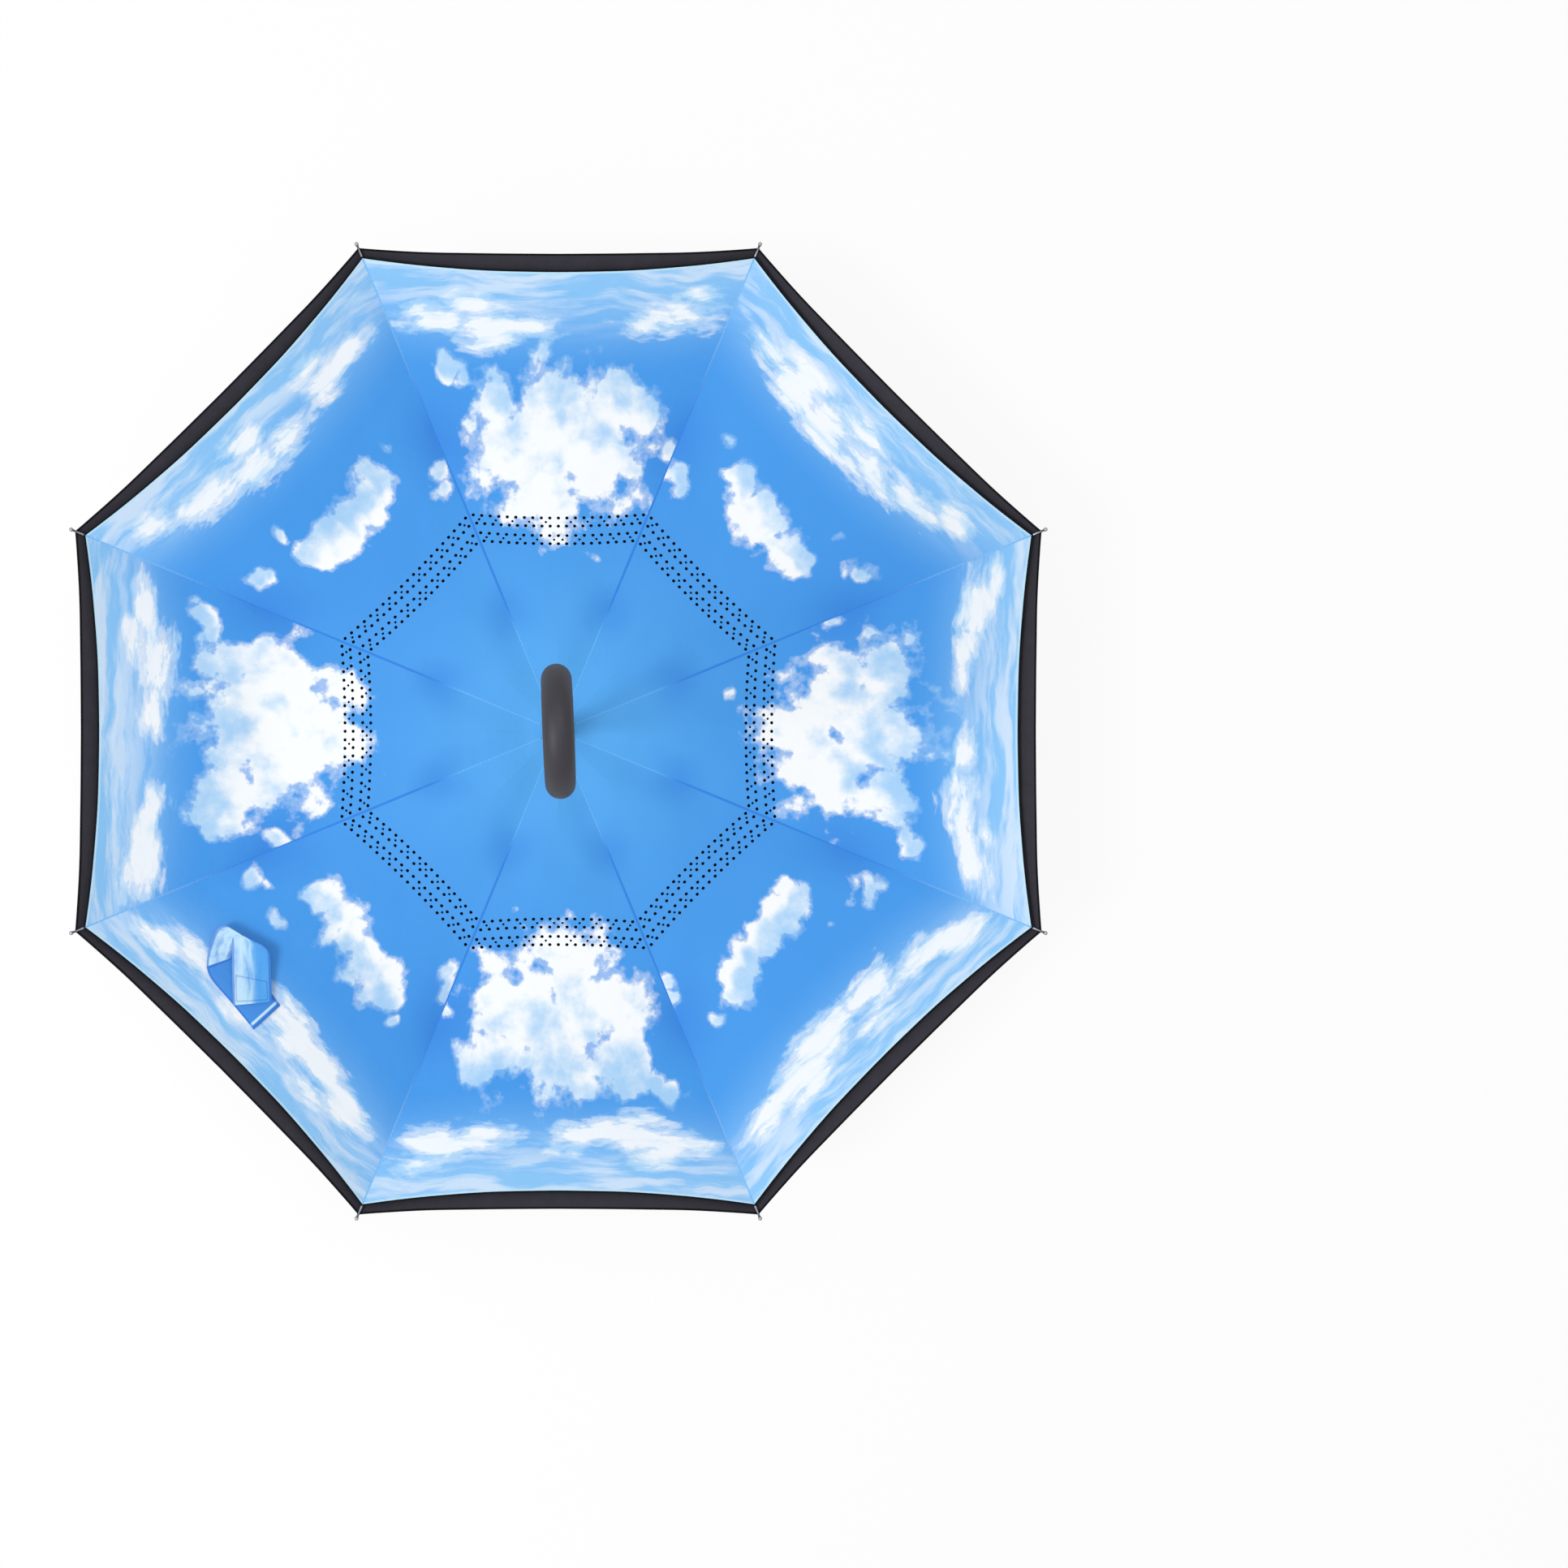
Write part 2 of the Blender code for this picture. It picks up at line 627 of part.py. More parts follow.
def make_button_spring(runner):
    """A bowed leaf between the shaft and the button's flange."""
    outer = SLEEVE_RADIUS - SLEEVE_WALL - 2 * FIT_GAP - BUTTON_FLANGE_WALL
    rise = outer - SHAFT_HOLE - SPRING_THICKNESS
    steps = 8
    shares = [n / steps for n in range(steps + 1)]
    mesh = bpy.data.meshes.new("button_spring")
    work = bmesh.new()
    rows = []
    for share in shares:
        out = SHAFT_HOLE + SPRING_THICKNESS / 2 + rise * math.sin(math.pi * share)
        up = SPRING_LENGTH * (share - shares[-1] / 2)
        rows.append([work.verts.new((side * SPRING_WIDTH / 2, -out, up)) for side in (-1, 1)])
    for first, second in zip(rows, rows[1:]):
        work.faces.new((first[0], first[1], second[1], second[0]))
    work.to_mesh(mesh)
    work.free()
    mesh.transform(Matrix.Rotation(BUTTON_AZIMUTH + math.pi / 2, 4, "Z"))
    height = button_height() - HUB_PIVOT_Z
    spring = place("button_spring", mesh, bright_steel, runner, (0, 0, height))
    leaf = spring.modifiers.new("leaf", "SOLIDIFY")
    leaf.thickness = SPRING_THICKNESS
    leaf.offset = 0


def make_ribs(runner):
    shared_rib, shared_tip = rib_mesh(), tip_mesh()
    end_out, end_up = rib_line(RIB_LENGTH)
    for number in range(RIB_COUNT):
        angle = rib_angle(number)
        pivot = around(HUB_PIVOT_RADIUS, 0, angle)
        rib = place(f"rib_{number + 1}", shared_rib, rib_grey, runner, pivot, angle)
        end = (end_out, 0, end_up)
        place(f"rib_tip_{number + 1}", shared_tip, bright_steel, rib, end, tilt=-rib_slope(RIB_LENGTH))


def make_stretchers(frame):
    shared = stretcher_mesh()
    out, up = joint_place()
    for number in range(RIB_COUNT):
        angle = rib_angle(number)
        pivot = around(CROWN_PIVOT_RADIUS, CROWN_PIVOT_Z, angle)
        place(f"stretcher_{number + 1}", shared, black_steel, frame, pivot, angle, -math.atan2(up, out))


def panel_mesh(name, lines):
    """A gore between two ribs, about +X. Each line has one (radius, height) point for each column."""
    work = bmesh.new()
    half = RIB_STEP / 2
    rows = []
    for line in lines:
        row = []
        for column, (radius, height) in enumerate(line):
            across = 2 * column / PANEL_COLUMNS - 1
            side = radius * math.sin(half) - SEAM_GAP / 2 * math.cos(half)
            row.append(work.verts.new((radius * math.cos(half), across * side, height)))
        rows.append(row)
    for first, second in zip(rows, rows[1:]):
        for n in range(PANEL_COLUMNS):
            work.faces.new((first[n], second[n], second[n + 1], first[n + 1]))
    mesh = bpy.data.meshes.new(name)
    work.to_mesh(mesh)
    work.free()
    return smooth(mesh)


def bow(column):
    """1 at the middle of a panel and 0 at its seams."""
    across = 2 * column / PANEL_COLUMNS - 1
    return 1 - across * across


def along_rib(corner, first, offset, stations, height):
    """Lines of a panel that follow the ribs, up to its sagging hem."""
    lines = []
    for station in range(stations + 1):
        line = []
        for column in range(PANEL_COLUMNS + 1):
            last = corner - HEM_SAG * bow(column)
            along = first + (last - first) * station / stations
            radius, up = rib_line(along, offset)
            past = max(0, along - RIB_STRAIGHT) / (last - RIB_STRAIGHT)
            lift = PANEL_LIFT * bow(column) * math.sin(math.pi * past)
            line.append((radius + HUB_PIVOT_RADIUS, up + height + lift))
        lines.append(line)
    return lines


def sky_lines():
    columns = PANEL_COLUMNS + 1
    inner = SHAFT_HOLE / math.cos(RIB_STEP / 2) + FABRIC_GAP
    lines = [[(inner, SKY_CENTRE_Z)] * columns, [(HUB_RADIUS + FABRIC_GAP, SKY_CENTRE_Z)] * columns]
    corner = TIP_END - SKY_CORNER_BACK
    return lines + along_rib(corner, FABRIC_SHOULDER, SKY_OFFSET, SKY_STATIONS, HUB_PIVOT_Z)


def outer_touch():
    """Where the taut outer layer meets the ribs: the tangent from the crown's rim to the offset arc."""
    rim = (CROWN_RADIUS + FABRIC_GAP, OUTER_CENTRE_Z)
    centre_out = RIB_STRAIGHT * math.cos(RIB_DROP) + RIB_ARC_RADIUS * math.sin(RIB_DROP)
    centre_up = -RIB_STRAIGHT * math.sin(RIB_DROP) + RIB_ARC_RADIUS * math.cos(RIB_DROP)
    away = (rim[0] - HUB_PIVOT_RADIUS - centre_out, rim[1] - HUB_PIVOT_Z - centre_up)
    swing = math.acos((RIB_ARC_RADIUS + OUTER_OFFSET) / math.hypot(*away))
    slope = math.atan2(away[1], away[0]) + swing + math.pi / 2
    return rim, RIB_STRAIGHT + RIB_ARC_RADIUS * (slope + RIB_DROP)


def outer_lines():
    columns = PANEL_COLUMNS + 1
    rim, touch = outer_touch()
    inner = SHAFT_HOLE / math.cos(RIB_STEP / 2) + FABRIC_GAP
    lines = [[(inner, OUTER_CENTRE_Z)] * columns]
    corner = TIP_END - OUTER_CORNER_BACK
    ribbed = along_rib(corner, touch, -OUTER_OFFSET, OUTER_STATIONS, HUB_PIVOT_Z)
    for station in range(OUTER_CONE_STATIONS):
        share = station / OUTER_CONE_STATIONS
        line = []
        for radius, height in ribbed[0]:
            line.append((rim[0] + (radius - rim[0]) * share, rim[1] + (height - rim[1]) * share))
        lines.append(line)
    return lines + ribbed


def make_canopy(frame, name, lines, look):
    shared = panel_mesh(name, lines)
    for number in range(RIB_COUNT):
        panel = place(f"{name}_{number + 1}", shared, look, frame, turn=RIB_STEP * number)
        cloth = panel.modifiers.new("cloth", "SOLIDIFY")
        cloth.thickness = FABRIC_THICKNESS
        cloth.offset = 0


def sky_height(out, side):
    """Height of the sky layer's surface at a place in a panel's own frame."""
    inner_radius = RIB_ARC_RADIUS - SKY_OFFSET
    start = RIB_STRAIGHT * math.cos(RIB_DROP) + RIB_ARC_RADIUS * math.sin(RIB_DROP)
    radius = out / math.cos(RIB_STEP / 2)
    slope = math.asin((radius - HUB_PIVOT_RADIUS - start) / inner_radius)
    along = RIB_STRAIGHT + RIB_ARC_RADIUS * (slope + RIB_DROP)
    across = side / (radius * math.sin(RIB_STEP / 2))
    middle = 1 - across * across
    last = TIP_END - SKY_CORNER_BACK - HEM_SAG * middle
    lift = PANEL_LIFT * middle * math.sin(math.pi * (along - RIB_STRAIGHT) / (last - RIB_STRAIGHT))
    return HUB_PIVOT_Z + rib_line(along, SKY_OFFSET)[1] + lift


def make_strap(frame):
    """The folded tie strap, lying on one sky panel."""
    long_steps, wide_steps = 6, 3
    rise = (FABRIC_THICKNESS / 2 + FABRIC_GAP + STRAP_THICKNESS / 2) / math.cos(RIB_TIP_SLOPE)
    work = bmesh.new()
    rows = []
    for n in range(long_steps + 1):
        row = []
        for m in range(wide_steps + 1):
            forward = STRAP_LENGTH * (n / long_steps - 1 / 2)
            aside = STRAP_WIDTH * (m / wide_steps - 1 / 2)
            out = STRAP_OUT + forward * math.cos(STRAP_TURN) - aside * math.sin(STRAP_TURN)
            side = STRAP_SIDE + forward * math.sin(STRAP_TURN) + aside * math.cos(STRAP_TURN)
            row.append(work.verts.new((out, side, sky_height(out, side) + rise)))
        rows.append(row)
    for first, second in zip(rows, rows[1:]):
        for m in range(wide_steps):
            work.faces.new((first[m], second[m], second[m + 1], first[m + 1]))
    mesh = bpy.data.meshes.new("tie_strap")
    work.to_mesh(mesh)
    work.free()
    strap = place("tie_strap", smooth(mesh), sky_cloth, frame, turn=RIB_STEP * (STRAP_PANEL - 1))
    band = strap.modifiers.new("band", "SOLIDIFY")
    band.thickness = STRAP_THICKNESS
    band.offset = 0


def grip_path():
    """The C's centre line in the XZ plane, from the lower arm's end round to the upper arm's end."""
    half_wide = GRIP_WIDTH / 2 - GRIP_RADIUS
    straight_half = GRIP_HEIGHT / 2 - GRIP_RADIUS - GRIP_ARC_HEIGHT
    steps = 14
    lower, upper = [], []
    for step in range(steps + 1):
        angle = math.pi * step / steps
        across = half_wide * math.cos(angle)
        rise = GRIP_ARC_HEIGHT * math.sin(angle)
        lower.append((across, 0, -straight_half - rise))
        upper.append((-across, 0, straight_half + rise))
    ends = half_wide, 0, GRIP_GAP / 2
    return [(ends[0], 0, -ends[2])] + lower + upper + [ends]


def make_handle(frame):
    """The C and its neck, moulded as one, with a blind socket for the shaft."""
    ring = tube("grip", grip_path(), GRIP_RADIUS, 3)
    ring_object = draft("grip_ring", ring)
    rounding = ring_object.modifiers.new("rounding", "BEVEL")
    rounding.width = GRIP_END_ROUND
    rounding.segments = 2
    rounding.limit_method = "ANGLE"
    rounding.angle_limit = math.radians(60)
    ring = mesh_from(ring_object)
    ring.transform(Matrix.Translation((0, 0, GRIP_CENTRE_Z)))
    neck_top = GRIP_BOTTOM + GRIP_RADIUS
    socket_top = SHAFT_TOP + FIT_GAP
    profile = [
        (0, neck_top),
        (NECK_RADIUS, neck_top),
        (NECK_RADIUS, NECK_BOTTOM + NECK_CHAMFER),
        (NECK_RADIUS - NECK_CHAMFER, NECK_BOTTOM),
        (SHAFT_HOLE, NECK_BOTTOM),
        (SHAFT_HOLE, socket_top),
        (0, socket_top),
    ]
    neck = turned("neck", profile, 24, ring=False)
    handle = combine("c_handle", ring, [neck])
    handle.transform(Matrix.Rotation(GRIP_TURN, 4, "Z"))
    place("c_handle", smooth(handle), soft_grip, frame)


clear_scene()
umbrella = new_collection("inverted_umbrella")
cutters = new_collection("cutters", hidden=True)

black_plastic = finish_material("black_plastic", (0.020, 0.020, 0.023), 0.45)
gloss_plastic = finish_material("gloss_plastic", (0.022, 0.024, 0.028), 0.22)
button_red = finish_material("button_red", (0.86, 0.03, 0.035), 0.35)
soft_grip = finish_material("soft_grip", (0.050, 0.050, 0.056), 0.62)
shaft_metal = finish_material("shaft_metal", (0.035, 0.036, 0.040), 0.35, 0.6)
black_steel = finish_material("black_steel", (0.045, 0.046, 0.050), 0.38, 0.8)
bright_steel = finish_material("bright_steel", (0.62, 0.63, 0.65), 0.28, 1.0)
rib_grey = finish_material("rib_grey", (0.060, 0.062, 0.066), 0.48)
sky_cloth = finish_material("sky_cloth", (0.070, 0.342, 0.838), 0.72)
outer_cloth = finish_material("outer_cloth", (0.036, 0.034, 0.044), 0.78)

frame_base = bpy.data.objects.new("frame_base", None)
umbrella.objects.link(frame_base)
frame_base.location = (0, 0, -GRIP_CENTRE_Z)
runner_base = bpy.data.objects.new("runner_base", None)
umbrella.objects.link(runner_base)
runner_base.parent = frame_base
runner_base.location = (0, 0, HUB_PIVOT_Z)

make_cap(frame_base)
make_shaft(frame_base)
make_crown(frame_base)
make_runner(runner_base)
make_sleeve(runner_base)
make_button(runner_base)
make_button_spring(runner_base)
make_ribs(runner_base)
make_stretchers(frame_base)
make_canopy(frame_base, "sky_panel", sky_lines(), sky_cloth)
make_canopy(frame_base, "outer_panel", outer_lines(), outer_cloth)
make_strap(frame_base)
make_handle(frame_base)
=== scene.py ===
import math

import bmesh
import bpy
from mathutils import Matrix, Vector, noise
from mathutils.geometry import delaunay_2d_cdt


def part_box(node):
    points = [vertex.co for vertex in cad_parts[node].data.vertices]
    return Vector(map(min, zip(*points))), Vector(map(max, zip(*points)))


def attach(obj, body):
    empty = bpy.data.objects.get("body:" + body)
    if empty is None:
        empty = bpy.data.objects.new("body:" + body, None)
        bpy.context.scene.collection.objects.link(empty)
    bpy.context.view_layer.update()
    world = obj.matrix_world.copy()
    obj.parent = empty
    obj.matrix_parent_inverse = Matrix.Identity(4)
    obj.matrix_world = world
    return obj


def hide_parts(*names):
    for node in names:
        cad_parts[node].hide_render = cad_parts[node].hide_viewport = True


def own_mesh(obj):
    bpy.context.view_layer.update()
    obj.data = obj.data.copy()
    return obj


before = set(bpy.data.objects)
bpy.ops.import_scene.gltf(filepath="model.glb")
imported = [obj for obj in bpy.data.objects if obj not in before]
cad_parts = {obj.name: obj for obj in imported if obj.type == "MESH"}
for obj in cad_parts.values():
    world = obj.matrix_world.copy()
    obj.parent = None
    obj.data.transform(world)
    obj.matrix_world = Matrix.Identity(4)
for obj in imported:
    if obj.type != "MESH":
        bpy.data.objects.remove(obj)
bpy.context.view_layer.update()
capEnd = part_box("top_cap")[0][2]  # heights are measured up from the flat end of the cap
print("frame loaded")

# the ribs' curve and the two layers on it, as in the model
ribCurve = {
    "count": 8, "pivotRadius": 0.0125, "pivotHeight": 0.0950, "drop": math.radians(4),
    "straight": 0.192, "arcRadius": 0.456, "length": 0.526265, "tipEnd": 0.542265,
}
cloth = {
    "thickness": 0.0004, "seamGap": 0.0001, "lift": 0.005, "neck": 0.070,
    "grid": 0.0085, "hemSteps": 48, "seamRow": 0.0035,
}
# onRibs is how far along the ribs a layer starts to follow them, and flutter is a place in the noise
skyLayer = {
    "offset": 0.00245, "centreHeight": 0.1020, "centreRadius": 0.0170, "onRibs": 0.030,
    "tipBack": 0.0118, "sag": 0.0145, "sagPower": 2.3, "flutter": 3.7,
}
outerLayer = {
    "offset": -0.0033, "centreHeight": 0.0067, "centreRadius": 0.0170, "split": 0.208,
    "tipBack": 0.0040, "sag": 0.0058, "sagPower": 3.2, "flutter": 9.1,
}

halfStep = math.pi / ribCurve["count"]
halfSine, halfCosine = math.sin(halfStep), math.cos(halfStep)
tiny = 1e-6
sharpAngle = math.radians(50)


def rising(value, start, length):
    # 0 up to the start, then evenly up to 1
    return min(1.0, max(0.0, value - start) / length)


def ribSlope(along):
    return -ribCurve["drop"] + max(0.0, along - ribCurve["straight"]) / ribCurve["arcRadius"]


def ribLine(along, offset=0.0):
    # outward and up from the rib's pivot, on a line that lies offset above the rib
    slope, straight, arc = ribSlope(along), min(along, ribCurve["straight"]), ribCurve["arcRadius"]
    out = straight * math.cos(ribCurve["drop"]) + arc * (math.sin(slope) + math.sin(ribCurve["drop"]))
    up = -straight * math.sin(ribCurve["drop"]) + arc * (math.cos(ribCurve["drop"]) - math.cos(slope))
    return out - offset * math.sin(slope), up + offset * math.cos(slope)


def outerTouch():
    # where the taut outer layer leaves its straight cone and lies along the ribs
    arc, drop = ribCurve["arcRadius"], ribCurve["drop"]
    centreOut = ribCurve["straight"] * math.cos(drop) + arc * math.sin(drop) + ribCurve["pivotRadius"]
    centreUp = -ribCurve["straight"] * math.sin(drop) + arc * math.cos(drop) + ribCurve["pivotHeight"]
    awayOut, awayUp = outerLayer["centreRadius"] - centreOut, outerLayer["centreHeight"] - centreUp
    swing = math.acos((arc - outerLayer["offset"]) / math.hypot(awayOut, awayUp))
    slope = math.atan2(awayUp, awayOut) + swing + math.pi / 2
    return ribCurve["straight"] + arc * (slope + drop)


outerLayer["onRibs"] = outerTouch()


def hemAlong(layer, across):
    return ribCurve["tipEnd"] - layer["tipBack"] - layer["sag"] * (1 - abs(across) ** layer["sagPower"])


def layerLine(layer, along):
    # radius and height of a layer over the rib, by distance along the rib
    radius, height = ribLine(max(along, layer["onRibs"]), layer["offset"])
    radius, height = radius + ribCurve["pivotRadius"], height + ribCurve["pivotHeight"]
    if along < layer["onRibs"]:
        share = along / layer["onRibs"]
        climb = share * share * (3 - 2 * share) if layer is skyLayer else share
        radius = layer["centreRadius"] + (radius - layer["centreRadius"]) * share
        height = layer["centreHeight"] + (height - layer["centreHeight"]) * climb
    return radius, height


def halfWidth(layer, along):
    return layerLine(layer, along)[0] * halfSine - cloth["seamGap"] / 2 * halfCosine


def alongAt(layer, outward):
    # distance along the rib of the line across the gore at this distance from the shaft
    low, high = 0.0, ribCurve["tipEnd"]
    while high - low > tiny:
        middle = (low + high) / 2
        if layerLine(layer, middle)[0] * halfCosine < outward:
            low = middle
        else:
            high = middle
    return low


# the sky layer is tied to the ribs at two places on each seam, and stands a little off them between
ties = {
    "at": (0.130, 0.330), "reach": 0.034, "inward": 0.45, "outward": 1.6, "rise": 0.0030,
    "hollow": 0.0056, "side": 0.034, "steep": 1.6, "fade": 0.25,
}
# where the sky layer lifts off the ribs, comes back down and climbs onto the tips' sockets: the distance
# from the shaft or back from the ribs' ends, and the length it takes
seamEnds = {"start": (0.02, 0.05), "hollow": (0.02, 0.06), "end": (0.030, 0.06), "socket": (0.040, 0.012)}
socketRise = 0.0010
bulge = {"crest": 0.0066, "length": 0.24, "flutter": 0.0011, "alongScale": 22, "sideScale": 16, "reach": 0.02}


def tieHollow(along):
    # 1 at a tie and 0 far from it, longer towards the shaft
    found = 0.0
    for place in ties["at"]:
        away = (along - place) / ties["reach"]
        found = max(found, math.exp(-(away * away) * ties["inward" if away < 0 else "outward"]))
    return found


def seamRise(along):
    (endBack, endLength), (socketBack, socketLength) = seamEnds["end"], seamEnds["socket"]
    end = rising(ribCurve["tipEnd"] - endBack, along, endLength)
    onSocket = rising(along, ribCurve["tipEnd"] - socketBack, socketLength)
    lifted = ties["rise"] * (1 - tieHollow(along)) * rising(along, *seamEnds["start"]) * end
    return lifted + socketRise * onSocket


def clothPoint(layer, along, side):
    # a place in the gore's own frame; side is metres from its middle line
    radius, height = layerLine(layer, along)
    across = side / (radius * halfSine)
    bow = max(0.0, 1 - across * across)
    last = hemAlong(layer, across)
    past = max(0.0, along - ribCurve["straight"]) / (last - ribCurve["straight"])
    height += cloth["lift"] * bow * math.sin(math.pi * min(past, 1.0))
    fromSeam = max(0.0, radius * halfSine - abs(side))
    if layer is skyLayer:
        height += seamRise(along)
        away = fromSeam / ties["side"]
        start = rising(along, *seamEnds["hollow"])
        hollow = (1 - math.exp(-away * ties["steep"])) * math.exp(-away * away * ties["fade"])
        height += ties["hollow"] * tieHollow(along) * start * hollow
        height += bulge["crest"] * math.sin(math.pi * rising(along, 0.0, bulge["length"])) * bow * bow
    place = Vector((along * bulge["alongScale"], side * bulge["sideScale"], layer["flutter"]))
    height += bulge["flutter"] * noise.noise(place) * rising(fromSeam, 0.0, bulge["reach"])
    return radius * halfCosine, side, height + capEnd


# rows of vent holes across each sky gore: how far out each lies and how many holes it has
vents = {
    "rows": ((0.2041, 19), (0.2130, 19), (0.2235, 21), (0.2324, 21)),
    "between": ((0.20855, 19), (0.22795, 21)),
    "holeRadius": 0.00190, "smallRadius": 0.00140, "margin": 0.0034, "bow": 0.004, "sides": 10,
    "ring": 1.7, "clear": 0.0015, "seamClear": 0.001, "inside": 0.93,
}


def ventHoles():
    holes = []
    for outward, count in vents["rows"] + vents["between"]:
        small = (outward, count) in vents["between"]
        along = alongAt(skyLayer, outward)
        reach = halfWidth(skyLayer, along) - vents["margin"]
        pitch = 2 * reach / (count - 1)
        for number in range(count - 1 if small else count):
            if small and number % 2 == 0:
                continue
            side = -reach + pitch * (number + (0.5 if small else 0))
            radius = vents["smallRadius" if small else "holeRadius"]
            holes.append((along + vents["bow"] * (side / reach) ** 2, side, radius))
    return holes


def circle(along, side, radius, shift):
    angles = [2 * math.pi * (n + shift) / vents["sides"] for n in range(vents["sides"])]
    return [(along + radius * math.cos(angle), side + radius * math.sin(angle)) for angle in angles]


def goreHalf(layer, first, last, holes, mirror):
    # half a gore, from its middle line to its seam, laid out flat and then put on the ribs' curve
    pitch, ring, flat, edges, outline = cloth["grid"], vents["ring"], [], [], []
    hemmed = last is None
    end = hemAlong(layer, 0.0) if hemmed else last
    corner = hemAlong(layer, 1.0) if hemmed else last

    def addLine(points):
        for point in points:
            if not outline or (Vector(point) - Vector(flat[outline[-1]])).length > tiny:
                outline.append(len(flat))
                flat.append(point)

    rows = max(3, round((end - first) / pitch))
    middle = [first + (end - first) * n / rows for n in range(rows + 1)]
    for along, side, radius in holes:
        if abs(side) < tiny:
            middle = [place for place in middle if abs(place - along) > radius * ring]
            middle += [along - radius, along + radius]
    addLine([(along, 0.0) for along in sorted(middle)])
    columns = cloth["hemSteps"] if hemmed else max(2, round(halfWidth(layer, end) / pitch))
    for n in range(1, columns + 1):
        along = hemAlong(layer, n / columns) if hemmed else end
        addLine([(along, halfWidth(layer, along) * n / columns)])
    rows = max(3, round((corner - first) / (pitch * 0.6)))
    seam = [corner + (first - corner) * n / rows for n in range(1, rows + 1)]
    addLine([(along, halfWidth(layer, along)) for along in seam])
    columns = max(2, round(halfWidth(layer, first) / pitch))
    addLine([(first, halfWidth(layer, first) * (1 - n / columns)) for n in range(1, columns)])
    outlineCount = len(flat)
    kept = [hole for hole in holes if hole[1] > -tiny]
    for along, side, radius in kept:
        turns, start, halved = vents["sides"], len(flat), side < tiny
        flat += [point for point in circle(along, side, radius, 0.5) if not halved or point[1] > 0]
        if not halved:
            edges += [(start + n, start + (n + 1) % turns) for n in range(turns)]
        far = halfWidth(layer, along) - vents["seamClear"]
        flat += [point for point in circle(along, side, radius * ring, 0) if radius / 2 < point[1] < far]
    rows = round((corner - first) / pitch)
    for row in range(1, rows):
        along = first + (corner - first) * row / rows
        wide = halfWidth(layer, along)
        columns = max(2, round(wide / pitch))
        sides = [wide * n / columns for n in range(1, columns)]
        for side in sides + ([wide - cloth["seamRow"]] if columns > 3 else []):
            if along > (hemAlong(layer, side / wide) if hemmed else last) - pitch * 0.45:
                continue
            gaps = [math.hypot(along - hole[0], side - hole[1]) - hole[2] * ring for hole in kept]
            if min(gaps, default=1.0) > vents["clear"]:
                flat.append((along, side))
    made = delaunay_2d_cdt([Vector(p) for p in flat], edges, [list(range(outlineCount))], 1, 1e-7)
    points, faces = [tuple(p) for p in made[0]], []
    for face in made[2]:
        along = sum(points[i][0] for i in face) / len(face)
        side = sum(points[i][1] for i in face) / len(face)
        if all(math.hypot(along - hole[0], side - hole[1]) > hole[2] * vents["inside"] for hole in kept):
            faces.append(tuple(face[::-1]) if mirror else tuple(face))
    sign, verts, places, edgePlaces = -1 if mirror else 1, [], [], []
    for along, side in points:
        x, y, z = clothPoint(layer, along, side)
        across = side / (layerLine(layer, along)[0] * halfSine)
        verts.append(Vector((x, y * sign, z)))
        places.append((x, sign * side, 0))
        edgePlaces.append((hemAlong(layer, across) - along, max(0.0, halfWidth(layer, along) - side), along))
    return verts, faces, places, edgePlaces


def addObject(name, mesh, *materials):
    made = bpy.data.objects.new(name, mesh)
    bpy.context.scene.collection.objects.link(made)
    for material in materials:
        mesh.materials.append(material)
    return made


def applyModifiers(made):
    bpy.context.view_layer.update()
    graph = bpy.context.evaluated_depsgraph_get()
    mesh = bpy.data.meshes.new_from_object(made.evaluated_get(graph))
    old = made.data
    made.modifiers.clear()
    made.data = mesh
    bpy.data.meshes.remove(old)


def thicken(made, thickness):
    solid = made.modifiers.new("thickness", "SOLIDIFY")
    solid.thickness, solid.offset = thickness, 0
    applyModifiers(made)


def addPlaces(mesh, **places):
    # a place for each vertex, which the materials read
    for name, values in places.items():
        data = mesh.attributes.new(name, "FLOAT_VECTOR", "POINT").data
        data.foreach_set("vector", [number for value in values for number in value])


def ringFaces(count, sides):
    # the faces between each ring of vertices and the next
    faces = []
    for start in range(0, count * sides, sides):
        for m in range(sides):
            a, b = start + m, start + (m + 1) % sides
            faces.append((a, b, b + sides, a + sides))
    return faces


def sweep(points, radii, sides):
    # a round section along a line of points, with flat ends, as (vertices, faces)
    verts, count = [], len(points)
    ahead = (Vector(points[1]) - Vector(points[0])).normalized()
    sideways = ahead.orthogonal().normalized()
    for n, point in enumerate(points):
        before, after = points[max(0, n - 1)], points[min(count - 1, n + 1)]
        if (Vector(after) - Vector(before)).length > 1e-7:
            ahead = (Vector(after) - Vector(before)).normalized()
        sideways = (sideways - ahead * sideways.dot(ahead)).normalized()
        upward = ahead.cross(sideways)
        for m in range(sides):
            angle = 2 * math.pi * m / sides
            verts.append(Vector(point) + radii[n] * (math.cos(angle) * sideways + math.sin(angle) * upward))
    ends = [tuple(range(sides))[::-1], tuple(range((count - 1) * sides, count * sides))]
    return verts, ringFaces(count - 1, sides) + ends


def lathe(profile, sides):
    # turned about the shaft; the profile is (radius, height) points, closed if it ends where it starts
    verts = []
    for radius, height in profile:
        for m in range(sides):
            angle = 2 * math.pi * m / sides
            verts.append(Vector((radius * math.cos(angle), radius * math.sin(angle), height)))
    return verts, ringFaces(len(profile) - 1, sides)


